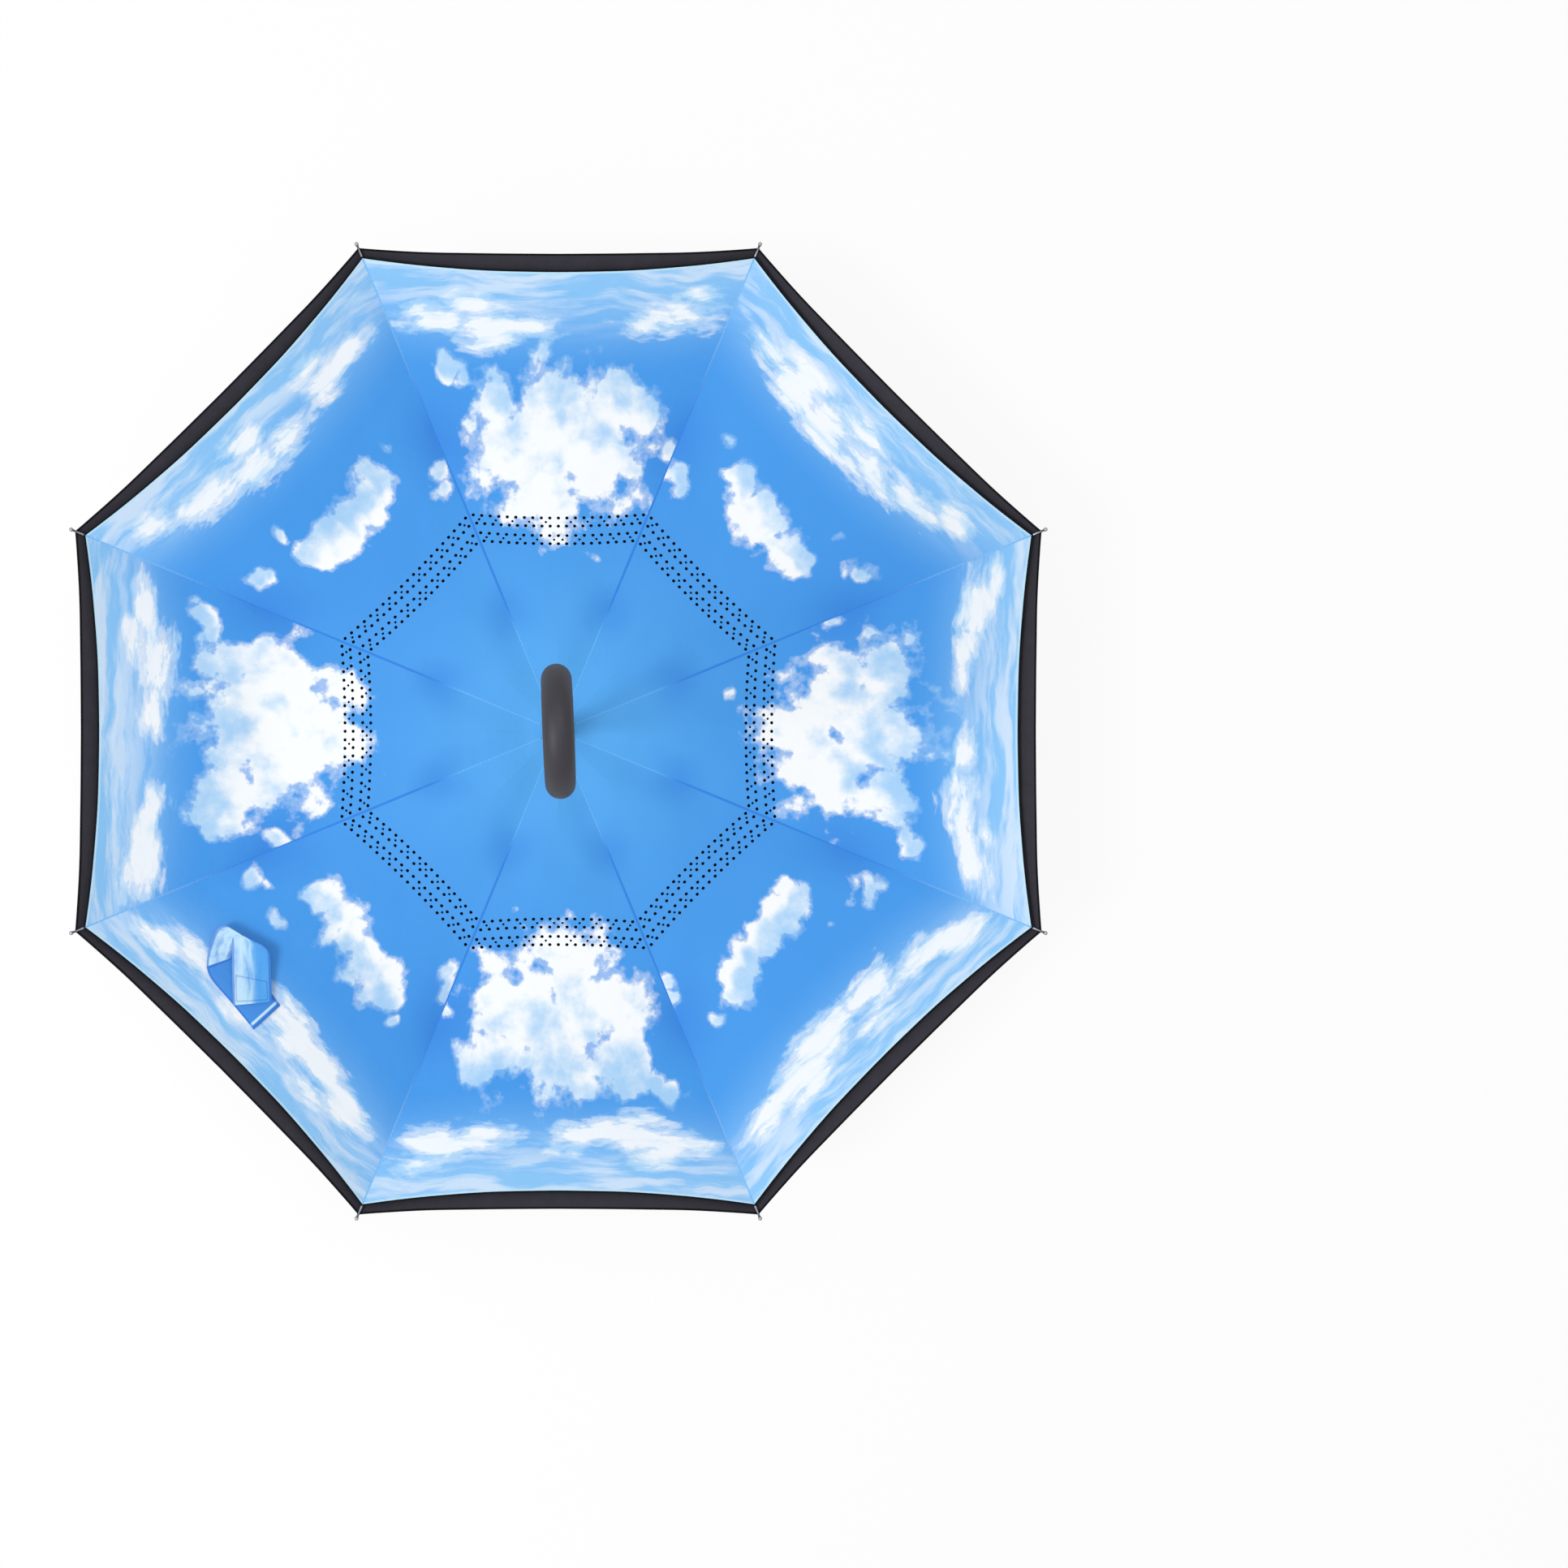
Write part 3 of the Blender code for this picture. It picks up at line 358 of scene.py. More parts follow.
def meshOf(name, verts, faces):
    mesh = bpy.data.meshes.new(name)
    mesh.from_pydata([tuple(v) for v in verts], [], faces)
    work = bmesh.new()
    work.from_mesh(mesh)
    bmesh.ops.remove_doubles(work, verts=work.verts, dist=tiny)
    bmesh.ops.recalc_face_normals(work, faces=work.faces)
    work.to_mesh(mesh)
    work.free()
    mesh.shade_smooth()
    mesh.set_sharp_from_angle(angle=sharpAngle)
    return mesh


# materials
def addNode(tree, kind, values=None, **settings):
    made = tree.nodes.new("ShaderNode" + kind)
    for name, value in settings.items():
        setattr(made, name, value)
    for socket, value in (values or {}).items():
        if isinstance(value, bpy.types.NodeSocket):
            tree.links.new(value, made.inputs[socket])
        else:
            made.inputs[socket].default_value = value
    return made


def calc(tree, operation, *values, clamp=False):
    return addNode(tree, "Math", dict(enumerate(values)), operation=operation, use_clamp=clamp).outputs[0]


def vectorCalc(tree, operation, first, second, output=0):
    return addNode(tree, "VectorMath", {0: first, 1: second}, operation=operation).outputs[output]


def separate(tree, vector):
    return addNode(tree, "SeparateXYZ", {0: vector}).outputs


def ramp(tree, value, low, high):
    # 0 at low and 1 at high
    return addNode(tree, "MapRange", {0: value, 1: low, 2: high}, interpolation_type="SMOOTHSTEP").outputs[0]


def blendColour(tree, share, first, second):
    return addNode(tree, "Mix", {0: share, 6: first, 7: second}, data_type="RGBA").outputs[2]


def fractal(tree, place, scale, detail=4.0, roughness=0.55):
    values = {"Vector": place, "Scale": scale, "Detail": detail, "Roughness": roughness}
    return addNode(tree, "TexNoise", values).outputs[0]


def attribute(tree, name):
    return addNode(tree, "Attribute", attribute_name=name).outputs["Vector"]


def addBump(tree, shader, strength, distance, height):
    relief = addNode(tree, "Bump", {"Strength": strength, "Distance": distance, "Height": height})
    tree.links.new(relief.outputs[0], shader["Normal"])


def newGroup(name, inputs, outputs):
    group = bpy.data.node_groups.new(name, "ShaderNodeTree")
    for kind, sockets in (("INPUT", inputs), ("OUTPUT", outputs)):
        for socketName, socketType in sockets.items():
            group.interface.new_socket(socketName, in_out=kind, socket_type="NodeSocket" + socketType)
    start, end = group.nodes.new("NodeGroupInput"), group.nodes.new("NodeGroupOutput")
    return group, start.outputs, end.inputs


def useGroup(tree, group, values):
    return addNode(tree, "Group", values, node_tree=group).outputs


def newMaterial(name, roughness, specular=0.5, metallic=0.0, coat=0.0, sheen=0.0):
    made = bpy.data.materials.new(name)
    made.use_nodes = True
    shader = made.node_tree.nodes["Principled BSDF"].inputs
    shader["Roughness"].default_value = roughness
    shader["Specular IOR Level"].default_value = specular
    shader["Metallic"].default_value = metallic
    shader["Coat Weight"].default_value = coat
    shader["Coat Roughness"].default_value = 0.12
    shader["Sheen Weight"].default_value = sheen
    return made, made.node_tree, shader


def makeSurfaceGrain():
    # fine grain, slow drift of the gloss and slight rubbing of a moulded or painted surface
    tree, given, result = newGroup(
        "surfaceGrain",
        {"Grain": "Float", "Roughness": "Float", "Variation": "Float", "Color": "Color", "Worn": "Color"},
        {"Height": "Float", "Roughness": "Float", "Color": "Color"},
    )
    place = addNode(tree, "TexCoord").outputs["Object"]
    grain = fractal(tree, place, calc(tree, "DIVIDE", 1.0, given["Grain"]), 2.0, 0.6)
    slow = fractal(tree, place, 38.0, 3.0, 0.6)
    drift = calc(tree, "MULTIPLY", calc(tree, "SUBTRACT", slow, 0.5), given["Variation"])
    rubbed = calc(tree, "MULTIPLY", ramp(tree, slow, 0.45, 0.75), 0.6)
    tree.links.new(grain, result["Height"])
    tree.links.new(calc(tree, "ADD", given["Roughness"], drift, clamp=True), result["Roughness"])
    tree.links.new(blendColour(tree, rubbed, given["Color"], given["Worn"]), result["Color"])
    return tree


surfaceGrain = makeSurfaceGrain()


def plainFinish(name, colour, roughness, grain=0.0008, bump=0.05, variation=0.12, worn=1.25, **shine):
    made, tree, shader = newMaterial(name, roughness, **shine)
    values = {"Grain": grain, "Roughness": roughness, "Variation": variation}
    values["Color"], values["Worn"] = (*colour, 1), (*[min(1.0, c * worn) for c in colour], 1)
    look = useGroup(tree, surfaceGrain, values)
    tree.links.new(look["Color"], shader["Base Color"])
    tree.links.new(look["Roughness"], shader["Roughness"])
    addBump(tree, shader, bump, 0.0004, look["Height"])
    return made


softGrip = plainFinish("softTouchGrip", (0.029, 0.028, 0.037), 0.56, grain=0.0005, bump=0.12, specular=0.35)
glossBlack = plainFinish(
    "glossBlack", (0.006, 0.006, 0.008), 0.20, grain=0.002, bump=0.02, variation=0.08, specular=0.3, coat=0.15
)
mattBlack = plainFinish("mattBlack", (0.020, 0.020, 0.022), 0.45)
signalRed = plainFinish("signalRed", (0.86, 0.028, 0.040), 0.34, grain=0.001, bump=0.03, worn=1.08)
shaftBlack = plainFinish("shaftBlack", (0.026, 0.027, 0.030), 0.30, grain=0.0012, bump=0.03, metallic=0.6)
rodSteel = plainFinish("rodSteel", (0.33, 0.33, 0.35), 0.30, bump=0.03, metallic=1.0)
brightWire = plainFinish("brightWire", (0.58, 0.59, 0.61), 0.26, bump=0.03, metallic=1.0)
channelBlack = plainFinish("channelBlack", (0.035, 0.036, 0.040), 0.36, grain=0.001, metallic=0.8)
ribFibre = plainFinish("ribFibre", (0.055, 0.057, 0.060), 0.46)
# near-black binding for the hems and the outer seams; on the sky hem it is also a painted shadow line
bindingAndHemShadow = plainFinish("bindingAndHemShadow", (0.0035, 0.0032, 0.005), 0.85, grain=0.0007, bump=0.2, specular=0.15)


def makeClothRelief():
    # fine weave, soft creases and the small ripples that stitching draws beside a seam or a hem
    sockets = {"Place": "Vector", "Edge": "Vector"}
    tree, given, result = newGroup("clothRelief", sockets, {"Height": "Float"})
    fromHem, fromSeam, _ = separate(tree, given["Edge"])
    ripplePlace = vectorCalc(tree, "MULTIPLY", given["Edge"], (0.0, 0.15, 1.0))
    ripple = calc(tree, "MULTIPLY", fractal(tree, ripplePlace, 150.0, 1.0), ramp(tree, fromSeam, 0.018, 0.0))
    tuckPlace = vectorCalc(tree, "MULTIPLY", given["Place"], (0.15, 1.0, 0.0))
    tuck = calc(tree, "MULTIPLY", fractal(tree, tuckPlace, 120.0, 1.0), ramp(tree, fromHem, 0.016, 0.0))
    creases = fractal(tree, given["Place"], 22.0, 3.0, 0.5)
    creases = calc(tree, "MULTIPLY_ADD", calc(tree, "ADD", ripple, tuck), 0.20, creases)
    weave = fractal(tree, given["Place"], 900.0, 0.0)
    tree.links.new(calc(tree, "MULTIPLY_ADD", weave, 0.025, creases), result["Height"])
    return tree


clothRelief = makeClothRelief()

# printed sky: plain blue inside, loose white clouds further out, pale streaks towards the hem
skyPrint = {
    # the darkest blue is painted shade for the hollows at the ties, also mottled at random
    "innerBlue": (0.096, 0.415, 0.860, 1), "blue": (0.060, 0.330, 0.815, 1),
    "shadeAndMottleBlue": (0.042, 0.255, 0.735, 1), "hemBlue": (0.280, 0.590, 0.925, 1),
    "hemEdge": (0.560, 0.830, 0.950, 1), "cloudShade": (0.500, 0.745, 0.940, 1),
    "white": (0.920, 0.945, 0.960, 1),
    # by the distance from the shaft and from the gore's middle line, with the reach
    "bigLumps": (
        (0.243, 0.000, 0.050), (0.270, -0.014, 0.078), (0.300, -0.040, 0.078), (0.302, 0.040, 0.082),
        (0.338, 0.002, 0.080), (0.350, 0.072, 0.050), (0.352, -0.066, 0.044), (0.379, -0.120, 0.021),
        (0.370, -0.105, 0.017), (0.386, -0.134, 0.0115), (0.303, 0.121, 0.019), (0.291, 0.130, 0.016),
        (0.189, 0.046, 0.0105),
    ),
    "longLumps": (
        (0.324, -0.050, 0.032), (0.320, -0.026, 0.038), (0.317, 0.002, 0.035), (0.314, 0.028, 0.035),
        (0.312, 0.054, 0.029), (0.347, 0.115, 0.018), (0.338, 0.104, 0.014), (0.286, -0.111, 0.020),
        (0.276, -0.101, 0.017), (0.354, 0.066, 0.013), (0.343, -0.090, 0.012),
    ),
    # by the distance from the hem, stretched, and from the gore's middle line
    "bankStretch": 2.1,
    "bigBanks": (
        (0.124, -0.124, 0.058), (0.136, -0.074, 0.066), (0.126, -0.026, 0.046), (0.086, -0.100, 0.040),
        (0.118, 0.132, 0.060), (0.128, 0.084, 0.044), (0.076, 0.150, 0.036),
    ),
    "longBanks": (
        (0.110, -0.128, 0.052), (0.124, -0.080, 0.062), (0.136, -0.024, 0.066), (0.132, 0.036, 0.066),
        (0.114, 0.092, 0.058), (0.084, 0.138, 0.044), (0.076, 0.020, 0.040), (0.070, -0.080, 0.040),
    ),
    "fullLump": 0.024,
    # where along the rib, reach along and across it, and depth of the painted shade in the hollow at a tie
    "tieShades": ((0.134, 0.045, 0.044, 0.7), (0.330, 0.075, 0.060, 1.0)),
}


def lumpField(tree, lumps, at):
    # 1 at the middle of a full lump, lower for a small one, and 0 at their rims
    found = None
    for first, second, reach in lumps:
        away = vectorCalc(tree, "DISTANCE", at, (first, second, 0.0), output=1)
        top = min(1.0, reach / skyPrint["fullLump"])
        lump = calc(tree, "MULTIPLY_ADD", away, -top / reach, top)
        found = lump if found is None else calc(tree, "MAXIMUM", found, lump)
    return found


def makeSkyPrint():
    sockets = {"Place": "Vector", "Edge": "Vector", "Seed": "Vector", "Mirror": "Vector", "Big": "Float"}
    tree, given, result = newGroup("skyPrint", sockets, {"Color": "Color"})

    def times(first, second):
        return calc(tree, "MULTIPLY", first, second)

    def linear(value, factor, added):
        return calc(tree, "MULTIPLY_ADD", value, factor, added)

    def moved(place, by):
        return vectorCalc(tree, "ADD", place, by)

    def scaled(place, by):
        return vectorCalc(tree, "MULTIPLY", place, by)

    def centred(place, *look):
        # noise about 0
        return calc(tree, "SUBTRACT", fractal(tree, place, *look), 0.5)

    def eitherField(kind, at):
        # lumps of a gore with a big cloud or of one with a long cloud
        fields = {size: lumpField(tree, skyPrint[size + kind], at) for size in ("long", "big")}
        mixed = addNode(tree, "Mix", {"Factor": given["Big"], 2: fields["long"], 3: fields["big"]})
        return calc(tree, "MAXIMUM", mixed.outputs[0], -0.5)

    fromHem, fromSeam, along = separate(tree, given["Edge"])
    turned = scaled(given["Place"], given["Mirror"])
    outward, sideways, _ = separate(tree, turned)
    grainPlace = moved(turned, given["Seed"])
    warp = addNode(tree, "TexNoise", {"Vector": grainPlace, "Scale": 14.0, "Detail": 2.0}).outputs[1]
    warp = scaled(moved(warp, (-0.5, -0.5, -0.5)), (0.048, 0.054, 0.0))
    warped = moved(turned, warp)

    def softField(shift):
        # the clouds' broad swellings, seen this far away
        swelling = fractal(tree, moved(grainPlace, shift), 27.0, 2.0, 0.5)
        return linear(swelling, 1.3, eitherField("Lumps", moved(warped, shift)))

    # loose clouds: a ragged translucent fringe round a white core, shaded on the outer side of each swelling
    rags = centred(grainPlace, 27.0, 8.0, 0.57)
    density = linear(rags, 2.0, eitherField("Lumps", warped))
    fringe, core = ramp(tree, density, 0.17, 0.34), ramp(tree, density, 0.26, 0.48)
    mottle = centred(moved(grainPlace, (0.31, 0.17, 0.5)), 24.0, 5.0, 0.6)
    facing = calc(tree, "SUBTRACT", softField((0.014, 0.004, 0.0)), softField((0.0, 0.0, 0.0)))
    facing = calc(tree, "MAXIMUM", calc(tree, "MINIMUM", facing, 0.40), -0.40)
    bright = linear(facing, 0.55, linear(mottle, 1.1, 0.60))
    bright = linear(calc(tree, "SUBTRACT", outward, 0.320), -1.8, bright)
    bright = ramp(tree, linear(rags, 0.4, bright), 0.20, 0.72)
    cover = times(calc(tree, "MAXIMUM", times(fringe, 0.34), core), linear(bright, 0.28, 0.72))
    cloudTone = blendColour(tree, bright, skyPrint["cloudShade"], skyPrint["white"])

    # streaked banks of cloud some way inside the hem, and a pale veil at it
    stretched = scaled(moved(grainPlace, scaled(warp, (0.45, 0.3, 0.0))), (3.0, 0.85, 1.0))
    bankPlace = {0: times(fromHem, skyPrint["bankStretch"]), 1: sideways}
    bankPlace = addNode(tree, "CombineXYZ", bankPlace).outputs[0]
    bankField = eitherField("Banks", moved(bankPlace, scaled(warp, (0.8, 0.9, 0.0))))
    drift = centred(scaled(grainPlace, (0.6, 1.0, 1.0)), 9.0, 2.0)
    bankField = linear(drift, 0.8, calc(tree, "ADD", bankField, -0.10))
    bankDensity = linear(centred(stretched, 21.0, 8.0, 0.64), 2.3, bankField)
    bankFringe, bankCore = ramp(tree, bankDensity, 0.02, 0.34), ramp(tree, bankDensity, 0.24, 0.56)
    bankCover = calc(tree, "MAXIMUM", times(bankFringe, 0.58), times(bankCore, 0.94))
    streaks = fractal(tree, scaled(stretched, (1.4, 0.5, 1.0)), 21.0, 6.0, 0.6)
    veil = times(times(ramp(tree, streaks, 0.42, 0.62), ramp(tree, fromHem, 0.085, 0.005)), 0.55)
    bankBright = ramp(tree, linear(bankDensity, 0.5, linear(streaks, 1.5, -0.52)), 0.16, 0.62)
    bankTone = blendColour(tree, bankBright, skyPrint["cloudShade"], skyPrint["white"])

    # the blue under them, with painted shade in the hollows where the cloth is tied to the ribs, and a darker
    # blue mottled at random over all of it
    tieShade = 0.0
    for tieAlong, reachAlong, reachAcross, depth in skyPrint["tieShades"]:
        away = calc(tree, "ABSOLUTE", calc(tree, "SUBTRACT", along, tieAlong))
        shade = times(ramp(tree, away, reachAlong, 0.0), ramp(tree, fromSeam, reachAcross, 0.0))
        tieShade = calc(tree, "MAXIMUM", tieShade, times(shade, depth))
    shade = linear(tieShade, 0.70, times(fractal(tree, grainPlace, 5.0, 2.0), 0.5))
    colour = blendColour(tree, ramp(tree, outward, 0.02, 0.27), skyPrint["innerBlue"], skyPrint["blue"])
    for share, tone in (
        (shade, skyPrint["shadeAndMottleBlue"]),
        (ramp(tree, fromHem, 0.125, -0.010), skyPrint["hemBlue"]),
        (veil, skyPrint["white"]),
        (bankCover, bankTone),
        (cover, cloudTone),
        (times(ramp(tree, fromHem, 0.0036, 0.0026), 0.8), skyPrint["hemEdge"]),
    ):
        colour = blendColour(tree, share, colour, tone)
    tree.links.new(colour, result["Color"])
    return tree


skyPrintGroup = makeSkyPrint()


def addClothRelief(tree, shader, strength):
    places = {"Place": attribute(tree, "clothPlace"), "Edge": attribute(tree, "edgePlace")}
    addBump(tree, shader, strength, 0.005, useGroup(tree, clothRelief, places)["Height"])
    return places


def printedCloth(panel):
    made, tree, shader = newMaterial(f"printedSky{panel}", 0.70, specular=0.25, sheen=0.12)
    values = addClothRelief(tree, shader, 0.40)
    values["Seed"] = (0.53 * panel, 0.37 * panel, 0.11 * panel)
    values["Mirror"] = (1.0, -1.0 if panel % 4 > 1 else 1.0, 1.0)
    values["Big"] = float(panel % 2)
    tree.links.new(useGroup(tree, skyPrintGroup, values)["Color"], shader["Base Color"])
    return made


skyCloths = [printedCloth(n) for n in range(1, ribCurve["count"] + 1)]

outerLook = {"dark": (0.011, 0.0105, 0.018, 1), "light": (0.031, 0.029, 0.043, 1)}
tapeLook = {
    "blue": (0.034, 0.235, 0.740, 1), "hemBlue": (0.230, 0.540, 0.900, 1),
    "innerBlue": (0.118, 0.440, 0.885, 1), "thread": (0.015, 0.13, 0.50, 1),
}


def makeOuterCloth():
    made, tree, shader = newMaterial("darkPongee", 0.70, specular=0.3, sheen=0.2)
    place = addClothRelief(tree, shader, 0.45)["Place"]
    tone = blendColour(tree, fractal(tree, place, 60.0, 5.0, 0.7), outerLook["dark"], outerLook["light"])
    tree.links.new(tone, shader["Base Color"])
    return made


def makeSeamTape():
    made, tree, shader = newMaterial("seamTape", 0.70, specular=0.25)
    edge = attribute(tree, "edgePlace")
    fromHem, _, along = separate(tree, edge)
    tone = blendColour(tree, ramp(tree, fromHem, 0.19, 0.03), tapeLook["blue"], tapeLook["hemBlue"])
    tone = blendColour(tree, ramp(tree, along, 0.140, 0.095), tone, tapeLook["innerBlue"])
    stitches = addNode(tree, "TexWave", {"Vector": edge, "Scale": 60.0}, bands_direction="Z").outputs[1]
    tone = blendColour(tree, calc(tree, "MULTIPLY", stitches, 0.10), tone, tapeLook["thread"])
    tree.links.new(tone, shader["Base Color"])
    addBump(tree, shader, 0.3, 0.0004, stitches)
    return made


outerCloth, seamTape = makeOuterCloth(), makeSeamTape()
print("materials made")


def ribAngle(rib):
    return halfStep * (2 * rib - 1)


def seamFold(piece):
    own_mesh(piece)


def flatArea(layer, first, last):
    # cloth between two lines across a gore; for the hem, the line that it meets 0.6 of the way to the seam
    total, steps = 0.0, 60
    end = last or hemAlong(layer, 0.6)
    for n in range(steps):
        a, b = first + (end - first) * n / steps, first + (end - first) * (n + 1) / steps
        lineA, lineB = layerLine(layer, a), layerLine(layer, b)
        rise = math.hypot((lineB[0] - lineA[0]) * halfCosine, lineB[1] - lineA[1])
        total += rise * (halfWidth(layer, a) + halfWidth(layer, b))
    return total


def addFaces(mesh, verts, faces, index, edgePlaces=()):
    # more faces for the mesh, with the material of that index
    work = bmesh.new()
    work.from_mesh(mesh)
    edge = work.verts.layers.float_vector["edgePlace"]
    added = [work.verts.new(v) for v in verts]
    for vertex, value in zip(added, edgePlaces):
        vertex[edge] = value
    for face in faces:
        work.faces.new([added[i] for i in face]).material_index = index
    work.normal_update()
    work.to_mesh(mesh)
    work.free()


def addBinding(mesh, layer, mirror, turn, binding):
    points, steps = [], cloth["hemSteps"]
    for n in range(steps + 1):
        along = hemAlong(layer, n / steps) - binding["back"]
        x, y, z = clothPoint(layer, along, halfWidth(layer, along) * n / steps)
        points.append(turn @ Vector((x, -y if mirror else y, z + binding["lift"])))
    verts, faces = sweep(points, [binding["radius"]] * len(points), 8)
    addFaces(mesh, verts, faces, 2)


ridge = {
    "half": 0.0014, "rise": 0.0005, "pitch": 0.006, "first": 0.004, "hemBack": 0.0005,
    "section": ((-1.0, -0.25), (-0.75, 0.45), (-0.35, 0.95), (0.35, 0.95), (0.75, 0.45), (1.0, -0.25)),
}


def addSeam(mesh, rib, layer, first, last):
    # the folded seam between two gores, a low rounded ridge over the rib
    verts, edgePlaces, wide = [], [], len(ridge["section"])
    rows, turn = max(2, round((last - first) / ridge["pitch"])), Matrix.Rotation(ribAngle(rib), 3, "Z")
    up = 1 if layer is skyLayer else -1
    for n in range(rows + 1):
        along = first + (last - first) * n / rows
        radius, height = layerLine(layer, along)
        height += (seamRise(along) if layer is skyLayer else 0.0) + up * cloth["thickness"] / 2 + capEnd
        for side, rise in ridge["section"]:
            verts.append(turn @ Vector((radius, side * ridge["half"], height + up * rise * ridge["rise"])))
            edgePlaces.append((hemAlong(layer, 1.0) - along, 0.0, along))
    faces, lastRing = ringFaces(rows, wide), range(rows * wide, len(verts))
    ends = [tuple(range(wide)), tuple(lastRing)[::-1]]
    if up < 0:
        faces, ends = [face[:1] + face[:0:-1] for face in faces], [end[::-1] for end in ends]
    addFaces(mesh, verts, faces + ends, 3, edgePlaces)


def layCloth(name, rib, kind, span, holes, body):
    layer, looks, first, hemmed = kind["layer"], kind["looks"], span[0], span[1] is None
    verts, faces, places, edgePlaces, indices = [], [], [], [], []
    gores = (rib, rib % ribCurve["count"] + 1)
    turns = [Matrix.Rotation(2 * halfStep * (gore - 1), 3, "Z") for gore in gores]
    for half, turn in enumerate(turns):
        halfVerts, halfFaces, halfPlaces, halfEdges = goreHalf(layer, first, span[1], holes, half == 1)
        faces += [tuple(i + len(verts) for i in face) for face in halfFaces]
        indices += [half] * len(halfFaces)
        verts += [turn @ v for v in halfVerts]
        places, edgePlaces = places + halfPlaces, edgePlaces + halfEdges
    mesh = bpy.data.meshes.new(name)
    mesh.from_pydata([tuple(v) for v in verts], [], faces)
    mesh.polygons.foreach_set("material_index", indices)
    addPlaces(mesh, clothPlace=places, edgePlace=edgePlaces)
    made = addObject(name, mesh, looks[gores[0] - 1], looks[gores[1] - 1], bindingAndHemShadow, kind["seam"])
    thicken(made, cloth["thickness"])
    last = hemAlong(layer, 1.0) if hemmed else span[1]
    if hemmed:
        for half, turn in enumerate(turns):
            addBinding(made.data, layer, half == 1, turn, kind["binding"])
    addSeam(made.data, rib, layer, max(first, ridge["first"]), last - (ridge["hemBack"] if hemmed else 0.0))
    made.data.shade_smooth()
    made.data.set_sharp_from_angle(angle=sharpAngle)
    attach(made, f"{body}_{rib}")
    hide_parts(*[f"{kind['node']}_{gore}" for gore in gores])
    seamFold(made)
    size, area = (2 * halfWidth(layer, last), last - first), flatArea(layer, first, span[1])


skyKind = {
    "layer": skyLayer, "looks": skyCloths, "seam": seamTape, "node": "sky_panel", "slot": "sky_cloth",
    # along the sky hem the near-black binding stands in for the shadow the raised hem casts on the outer
    # layer: painted shadow
    "binding": {"radius": 0.0009, "lift": -0.0003, "back": 0.0},
}
outerKind = {
    "layer": outerLayer, "looks": [outerCloth] * ribCurve["count"], "seam": bindingAndHemShadow,
    "node": "outer_panel", "slot": "outer_cloth",
    "binding": {"radius": 0.0010, "lift": 0.0, "back": 0.0004},
}
holes, neck, split = ventHoles(), cloth["neck"], outerLayer["split"]
for rib in range(1, ribCurve["count"] + 1):
    layCloth(f"skyNeck{rib}", rib, skyKind, (0.0, neck), [], "rib_arm")
    layCloth(f"skyCover{rib}", rib, skyKind, (neck, None), holes, "rib_arm")
    layCloth(f"outerCone{rib}", rib, outerKind, (0.0, split), [], "stretcher_arm")
    layCloth(f"outerCover{rib}", rib, outerKind, (split, None), [], "rib_arm")
print("canopy laid")

# discs of cloth clamped under the collar and under the crown
discs = {
    "skyCentre": {"kind": skyKind, "inner": 0.0066, "outer": 0.0178, "body": "runner"},
    "outerCentre": {"kind": outerKind, "inner": 0.0066, "outer": 0.0175, "body": "frame"},
}
farFromEdges = (0.5, 0.05, 0.0)
for name, disc in discs.items():
    kind, inner, outer = disc["kind"], disc["inner"], disc["outer"]
    low, high = [kind["layer"]["centreHeight"] + capEnd + side * cloth["thickness"] / 2 for side in (-1, 1)]
    profile = [(inner, high), (outer, high), (outer, low), (inner, low), (inner, high)]
    mesh = meshOf(name, *lathe(profile, 64))
    places = [(vertex.co.x, vertex.co.y, 0) for vertex in mesh.vertices]
    addPlaces(mesh, clothPlace=places, edgePlace=[farFromEdges] * len(places))
    made = addObject(name, mesh, kind["looks"][0])
    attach(made, disc["body"])
    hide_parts(f"{kind['node']}_1")

# tie strap: a hemmed band folded over on gore 6, given by its two edges and its height over the cloth
strap = {
    "gore": 6, "rib": 5,
    "sections": (
        (0.4402, -0.0047, 0.4086, -0.0030, 0.0012), (0.4373, -0.0404, 0.4045, -0.0368, 0.0012),
        (0.4338, -0.0768, 0.4024, -0.0658, 0.0018), (0.4212, -0.0938, 0.3902, -0.0671, 0.0042),
        (0.4016, -0.1050, 0.3798, -0.0629, 0.0090), (0.3906, -0.1029, 0.3776, -0.0550, 0.0112),
        (0.3918, -0.0921, 0.3810, -0.0465, 0.0105), (0.4130, -0.0670, 0.3948, -0.0307, 0.0066),
        (0.4371, -0.0374, 0.4105, -0.0120, 0.0040),
    ),
    "thickness": 0.0010, "bow": 0.0012, "edgeDrop": 0.0005, "sharpAngle": math.radians(60), "foldAlong": 0.4,
    "stations": 72, "columns": 12, "long": 0.19, "wide": 0.038, "flat": (0.042, 0.205),
}


def smoothAt(rows, place):
    # a curve through rows of numbers
    n = min(len(rows) - 2, int(place))
    t = place - n
    four = [rows[min(len(rows) - 1, max(0, n + k))] for k in (-1, 0, 1, 2)]
    return [
        0.5
        * (2 * b + (c - a) * t + (2 * a - 5 * b + 4 * c - d) * t * t + (3 * b - a - 3 * c + d) * t * t * t)
        for a, b, c, d in zip(*four)
    ]


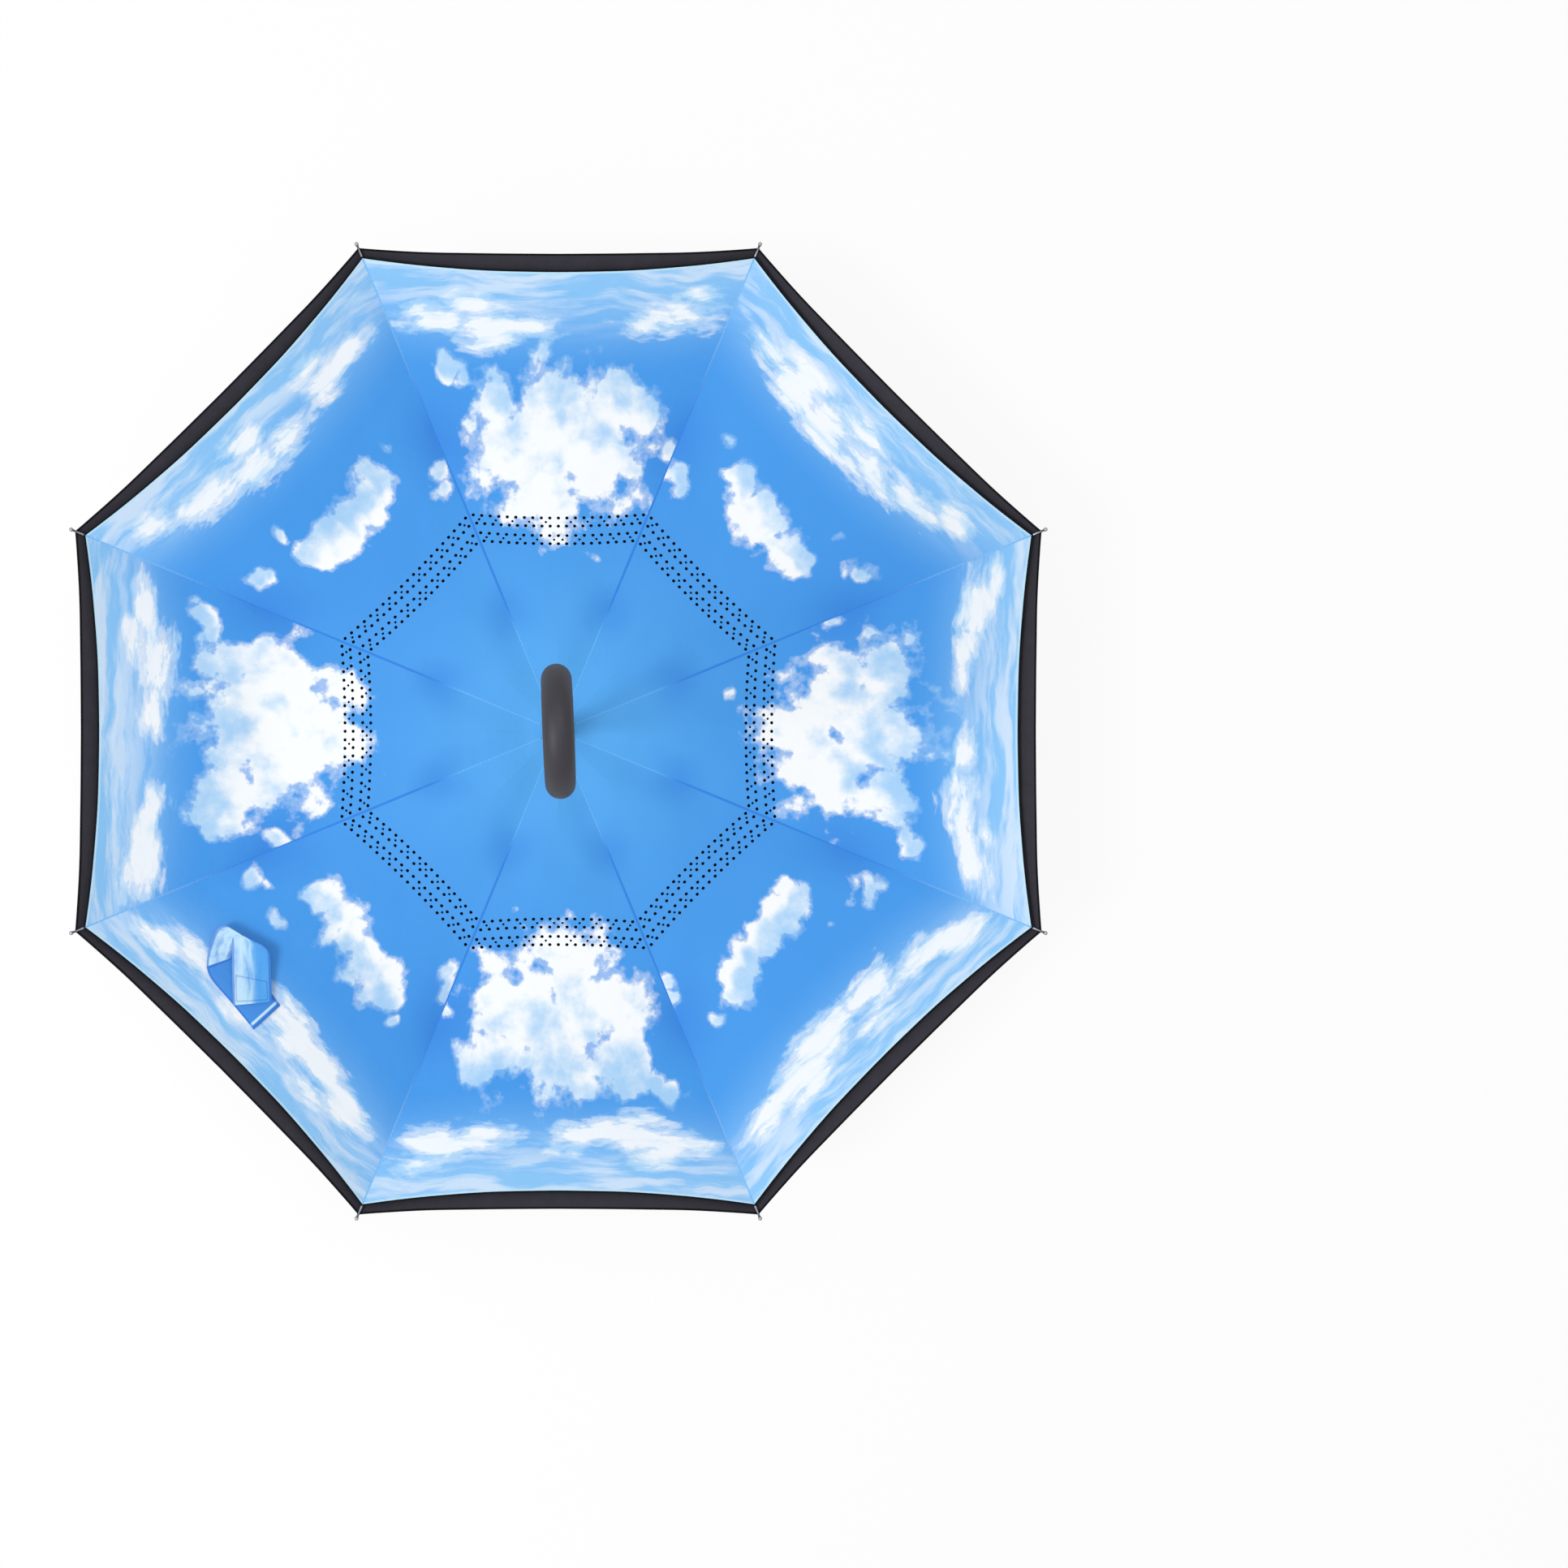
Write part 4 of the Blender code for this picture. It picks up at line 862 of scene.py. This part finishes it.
def makeStrap(look):
    verts, faces, places = [], [], []
    rows, columns, wide = strap["stations"], strap["columns"], strap["columns"] + 1
    for n in range(rows + 1):
        section = smoothAt(strap["sections"], n / rows * (len(strap["sections"]) - 1))
        for m in range(wide):
            share = m / columns
            x = section[0] + (section[2] - section[0]) * share
            y = section[1] + (section[3] - section[1]) * share
            x, y, z = clothPoint(skyLayer, alongAt(skyLayer, x), y)
            hem = strap["edgeDrop"] if m in (0, columns) else 0.0
            verts.append((x, y, z + section[4] + strap["bow"] * (1 - (2 * share - 1) ** 2) - hem))
            places.append((n / rows * strap["long"], share * strap["wide"], 0.0))
    for n in range(rows):
        for a in range(n * wide, n * wide + columns):
            faces.append((a, a + 1, a + 1 + wide, a + wide))
    mesh = bpy.data.meshes.new("tieStrap")
    mesh.from_pydata(verts, [], faces)
    mesh.update()
    addPlaces(mesh, clothPlace=places)
    made = addObject("tieStrap", mesh, look)
    thicken(made, strap["thickness"])
    made.data.shade_smooth()
    made.data.set_sharp_from_angle(angle=strap["sharpAngle"])
    made.data.transform(Matrix.Rotation(2 * halfStep * (strap["gore"] - 1), 4, "Z"))
    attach(made, f"rib_arm_{strap['rib']}")
    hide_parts("tie_strap")
    seamFold(made)


# lengths along and across the strap; the box is the stitching at its end; shade is the colour of the painted
# shade under the fold, along the edges and in the crease
strapLook = {
    "blue": (0.046, 0.290, 0.800, 1), "light": (0.120, 0.450, 0.880, 1),
    "pale": (0.520, 0.760, 0.940, 1), "shade": (0.020, 0.150, 0.600, 1),
    "crease": 0.056, "paleAcross": (0.035, 0.027), "shadeAlong": (0.115, 0.095),
    "edgeShadeAway": (0.0160, 0.0174), "boxAlong": (0.171, 0.1865), "boxAcross": (0.0040, 0.0340), "thread": 0.0002,
}


def makeStrapCloth():
    made, tree, shader = newMaterial("strapCloth", 0.66, specular=0.28, sheen=0.15)
    place = attribute(tree, "clothPlace")
    along, across, _ = separate(tree, place)
    mottle = fractal(tree, vectorCalc(tree, "MULTIPLY", place, (0.45, 1.3, 1.0)), 62.0, 5.0, 0.6)

    def stripe(value, middle, reach, soft=0.0004):
        # 1 within reach of the middle
        return ramp(tree, calc(tree, "ABSOLUTE", calc(tree, "SUBTRACT", value, middle)), reach + soft, reach)

    def boxLines(value, lines, other, ends):
        # the two stitched lines that cross this value, as long as the box is in the other
        both = calc(tree, "MAXIMUM", *[stripe(value, line, strapLook["thread"]) for line in lines])
        return calc(tree, "MULTIPLY", both, stripe(other, sum(ends) / 2, (ends[1] - ends[0]) / 2))

    crease = strapLook["crease"]
    pale = ramp(tree, calc(tree, "MULTIPLY_ADD", mottle, 0.020, across), *strapLook["paleAcross"])
    pale = calc(tree, "MULTIPLY", pale, ramp(tree, along, crease, crease + 0.002))
    pale = calc(tree, "MULTIPLY", pale, ramp(tree, mottle, 0.25, 0.58))
    # painted shade on the under-fold that lies beneath the curl
    shade = ramp(tree, along, *strapLook["shadeAlong"])
    shade = calc(tree, "MULTIPLY", shade, calc(tree, "MULTIPLY_ADD", mottle, 0.5, 0.25))
    # painted shade along the strap's edges, at its cut end and in the crease, with the stitching thread
    # darker too
    edgeShadeAndStitches = calc(tree, "ABSOLUTE", calc(tree, "SUBTRACT", across, strap["wide"] / 2))
    edgeShadeAndStitches = calc(tree, "MULTIPLY", ramp(tree, edgeShadeAndStitches, *strapLook["edgeShadeAway"]), 0.85)
    boxes = (along, strapLook["boxAlong"]), (across, strapLook["boxAcross"])
    stitching = calc(tree, "MAXIMUM", boxLines(*boxes[0], *boxes[1]), boxLines(*boxes[1], *boxes[0]))
    for line in (
        stripe(along, 0.0012, 0.0014),
        stripe(along, crease - 0.0008, 0.0009, 0.0012),
        calc(tree, "MULTIPLY", stitching, 0.5),
    ):
        edgeShadeAndStitches = calc(tree, "MAXIMUM", edgeShadeAndStitches, line)
    tone = blendColour(tree, mottle, strapLook["blue"], strapLook["light"])
    tone = blendColour(tree, shade, tone, strapLook["shade"])
    tone = blendColour(tree, pale, tone, strapLook["pale"])
    tone = blendColour(tree, stripe(along, 0.0050, 0.0009), tone, strapLook["pale"])
    tone = blendColour(tree, calc(tree, "MULTIPLY", edgeShadeAndStitches, 0.8), tone, strapLook["shade"])
    tree.links.new(tone, shader["Base Color"])
    addBump(tree, shader, 0.6, 0.0014, calc(tree, "MULTIPLY_ADD", stitching, -0.4, mottle))
    return made


makeStrap(makeStrapCloth())
print("strap folded")

# C-shaped handle and its neck in one moulding, its cut ends slightly flared
handle = {
    "radius": 0.00885, "width": 0.0785, "height": 0.150, "arcHeight": 0.038, "arcSteps": 40, "gap": 0.0265,
    "endSteps": (0.0, 0.0006, 0.0018, 0.003, 0.005),
    "endFlares": (-0.0001, 0.0005, 0.0004, 0.000125, 0.0),
    "neckRadius": 0.0095, "neckFoot": 0.5326, "neckBore": 0.0063, "boreDepth": 0.003,
    "jointReach": 0.004, "jointFade": 0.014, "jointHalf": 0.03, "turn": math.radians(92.3), "voxel": 0.0008,
}


def handlePath():
    halfWide = handle["width"] / 2 - handle["radius"]
    straight = handle["height"] / 2 - handle["radius"] - handle["arcHeight"]
    lower, upper, steps = [], [], handle["arcSteps"]
    for n in range(steps + 1):
        angle = math.pi * n / steps
        across, rise = halfWide * math.cos(angle), handle["arcHeight"] * math.sin(angle)
        lower.append((across, 0, -straight - rise))
        upper.append((-across, 0, straight + rise))
    first = [(halfWide, 0, -handle["gap"] / 2 - d) for d in handle["endSteps"]]
    last = [(halfWide, 0, handle["gap"] / 2 + d) for d in handle["endSteps"][::-1]]
    return first + lower + upper + last


def neckProfile():
    # the frame's origin is the middle of the C
    foot, top = handle["neckFoot"] + capEnd, -handle["height"] / 2 + handle["radius"]
    radius, bore, roof = handle["neckRadius"], handle["neckBore"], foot + handle["boreDepth"]
    profile = [(bore, roof), (bore, foot), (radius - 0.0008, foot), (radius - 0.0002, foot + 0.0003)]
    profile += [(radius, foot + 0.001), (radius, foot + 0.03), (radius, top), (0.0001, top)]
    return profile + [(0.0001, roof), (bore, roof)]


def makeHandle():
    path = handlePath()
    radii = [handle["radius"]] * len(path)
    for n, extra in enumerate(handle["endFlares"]):
        radii[n] = radii[-1 - n] = handle["radius"] + extra
    verts, faces = sweep(path, radii, 48)
    neckVerts, neckFaces = lathe(neckProfile(), 48)
    faces += [tuple(i + len(verts) for i in face) for face in neckFaces]
    made = addObject("cHandle", meshOf("cHandle", verts + neckVerts, faces))
    merge = made.modifiers.new("merge", "REMESH")
    merge.mode, merge.voxel_size = "VOXEL", handle["voxel"]
    applyModifiers(made)
    near = made.vertex_groups.new(name="joint")
    for vertex in made.data.vertices:
        away = abs(vertex.co.z + handle["height"] / 2)
        weight = 1 - rising(away, handle["jointReach"], handle["jointFade"])
        near.add([vertex.index], weight if abs(vertex.co.x) < handle["jointHalf"] else 0.0, "REPLACE")
    even = made.modifiers.new("even", "SMOOTH")
    even.factor, even.iterations = 0.5, 4
    blend = made.modifiers.new("blend", "SMOOTH")
    blend.factor, blend.iterations, blend.vertex_group = 0.6, 60, "joint"
    applyModifiers(made)
    made.data.transform(Matrix.Rotation(handle["turn"], 4, "Z"))
    made.data.shade_smooth()
    made.data.materials.clear()
    made.data.materials.append(softGrip)
    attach(made, "frame")
    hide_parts("c_handle")


makeHandle()
print("handle moulded")

# rib tips: a slim rod with a small ball, whose socket goes over the end of each rib
tip = {
    "length": 0.0275, "overlap": 0.0080, "socket": 0.0088, "socketRadius": 0.00225,
    "mouth": ((0.0, 0.0), (0.0018, 0.0), (0.0021, 0.0003), (0.00225, 0.0012)),
    "shoulder": 0.0019, "neckRadius": 0.0012, "ballRadius": 0.0021, "ballSteps": 12, "sides": 20,
}


def tipProfile():
    profile = list(tip["mouth"])
    profile += [(tip["socketRadius"], tip["socket"] - 0.001), (tip["shoulder"], tip["socket"])]
    profile += [(tip["neckRadius"], tip["socket"] + 0.0012)]
    ball, steps = tip["ballRadius"], tip["ballSteps"]
    centre, widest = tip["length"] - ball, math.pi - math.asin(tip["neckRadius"] / ball)
    for n in range(steps + 1):
        angle = widest - widest * n / steps
        profile.append((ball * math.sin(angle), centre + ball * math.cos(angle)))
    return profile


tipMesh = meshOf("ribTip", *lathe(tipProfile(), tip["sides"]))
endOut, endUp = ribLine(ribCurve["length"])
tipPlace = (endOut + ribCurve["pivotRadius"], 0, endUp + ribCurve["pivotHeight"] + capEnd)
for rib in range(1, ribCurve["count"] + 1):
    mesh = tipMesh.copy()
    mesh.transform(Matrix.Translation((0, 0, -tip["overlap"])))
    mesh.transform(Matrix.Rotation(math.pi / 2 - ribSlope(ribCurve["length"]), 4, "Y"))
    mesh.transform(Matrix.Translation(tipPlace))
    mesh.transform(Matrix.Rotation(ribAngle(rib), 4, "Z"))
    made = addObject(f"ribTip{rib}", mesh, rodSteel)
    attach(made, f"rib_arm_{rib}")
    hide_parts(f"rib_tip_{rib}")
print("tips set")

# finishes of the frame's own parts
finishes = {
    "top_cap": mattBlack, "shaft_tube": shaftBlack, "crown": mattBlack, "crown_wire": brightWire,
    "runner_hub": mattBlack, "runner_wire": brightWire, "runner_collar": glossBlack,
    "runner_sleeve": glossBlack, "release_button": signalRed, "button_spring": brightWire,
    "rib": ribFibre, "stretcher": channelBlack,
}
for name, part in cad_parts.items():
    key = name if name in finishes else name.rstrip("0123456789").rstrip("_")
    if key in finishes:
        part.data.materials.clear()
        part.data.materials.append(finishes[key])
print("finishes set")

# pale floor under the cap, lamps and camera
stage = {"size": 24.0, "white": 0.80, "glow": 0.84, "glowLevel": 1.035, "drop": 0.0004, "ambient": 0.55}


def shownShare(tree):
    # 1 for what the camera sees, also in a mirror or through glass
    path = addNode(tree, "LightPath").outputs
    reflected = calc(tree, "ADD", path["Is Glossy Ray"], path["Is Transmission Ray"])
    return calc(tree, "ADD", path["Is Camera Ray"], reflected, clamp=True)


half = stage["size"] / 2
floorMesh = bpy.data.meshes.new("paleFloor")
corners = [(x * half, y * half, capEnd - stage["drop"]) for x, y in ((-1, -1), (1, -1), (1, 1), (-1, 1))]
floorMesh.from_pydata(corners, [], [(0, 1, 2, 3)])
floorLook, tree, shader = newMaterial("paleFloor", 0.9)
shader["Base Color"].default_value = (stage["white"], stage["white"], stage["white"], 1)
glow = addNode(tree, "Emission", {"Color": (1, 1, 1, 1), "Strength": stage["glowLevel"]}).outputs[0]
share = calc(tree, "MULTIPLY", shownShare(tree), stage["glow"])
mixed = {0: share, 1: tree.nodes["Principled BSDF"].outputs[0], 2: glow}
mixed = addNode(tree, "MixShader", mixed).outputs[0]
tree.links.new(mixed, tree.nodes["Material Output"].inputs["Surface"])
addObject("paleFloor", floorMesh, floorLook)

world = bpy.data.worlds.new("studio")
bpy.context.scene.world = world
world.use_nodes = True
tree = world.node_tree
tree.nodes.clear()
strength = calc(tree, "MULTIPLY_ADD", shownShare(tree), 1.0 - stage["ambient"], stage["ambient"])
background = addNode(tree, "Background", {"Color": (1, 1, 1, 1), "Strength": strength}).outputs[0]
tree.links.new(background, tree.nodes.new("ShaderNodeOutputWorld").inputs["Surface"])

lampAim = Vector((0, 0, -0.5))
lamps = (
    {"name": "keyLamp", "place": (-1.5, -0.5, 1.7), "size": 0.9, "power": 34},
    {"name": "topLamp", "place": (0.5, 0.9, 2.2), "size": 1.5, "power": 14},
)
for lamp in lamps:
    data = bpy.data.lights.new(lamp["name"], "AREA")
    data.size, data.energy = lamp["size"], lamp["power"]
    made = addObject(lamp["name"], data)
    made.location = lamp["place"]
    made.rotation_euler = (lampAim - Vector(lamp["place"])).to_track_quat("-Z", "Y").to_euler()

view = {"lens": 27.37, "sensor": 36, "above": 1.2, "tipHeight": 0.187, "shiftX": 0.1439, "shiftY": -0.0336}
data = bpy.data.cameras.new("overheadCamera")
data.sensor_width, data.lens, data.clip_start = view["sensor"], view["lens"], 0.01
data.shift_x, data.shift_y = view["shiftX"], view["shiftY"]
camera = addObject("overheadCamera", data)
camera.location = (0, 0, capEnd + view["tipHeight"] + view["above"])
bpy.context.scene.camera = camera
bpy.context.scene.view_settings.view_transform = "Standard"

print("scene ready")
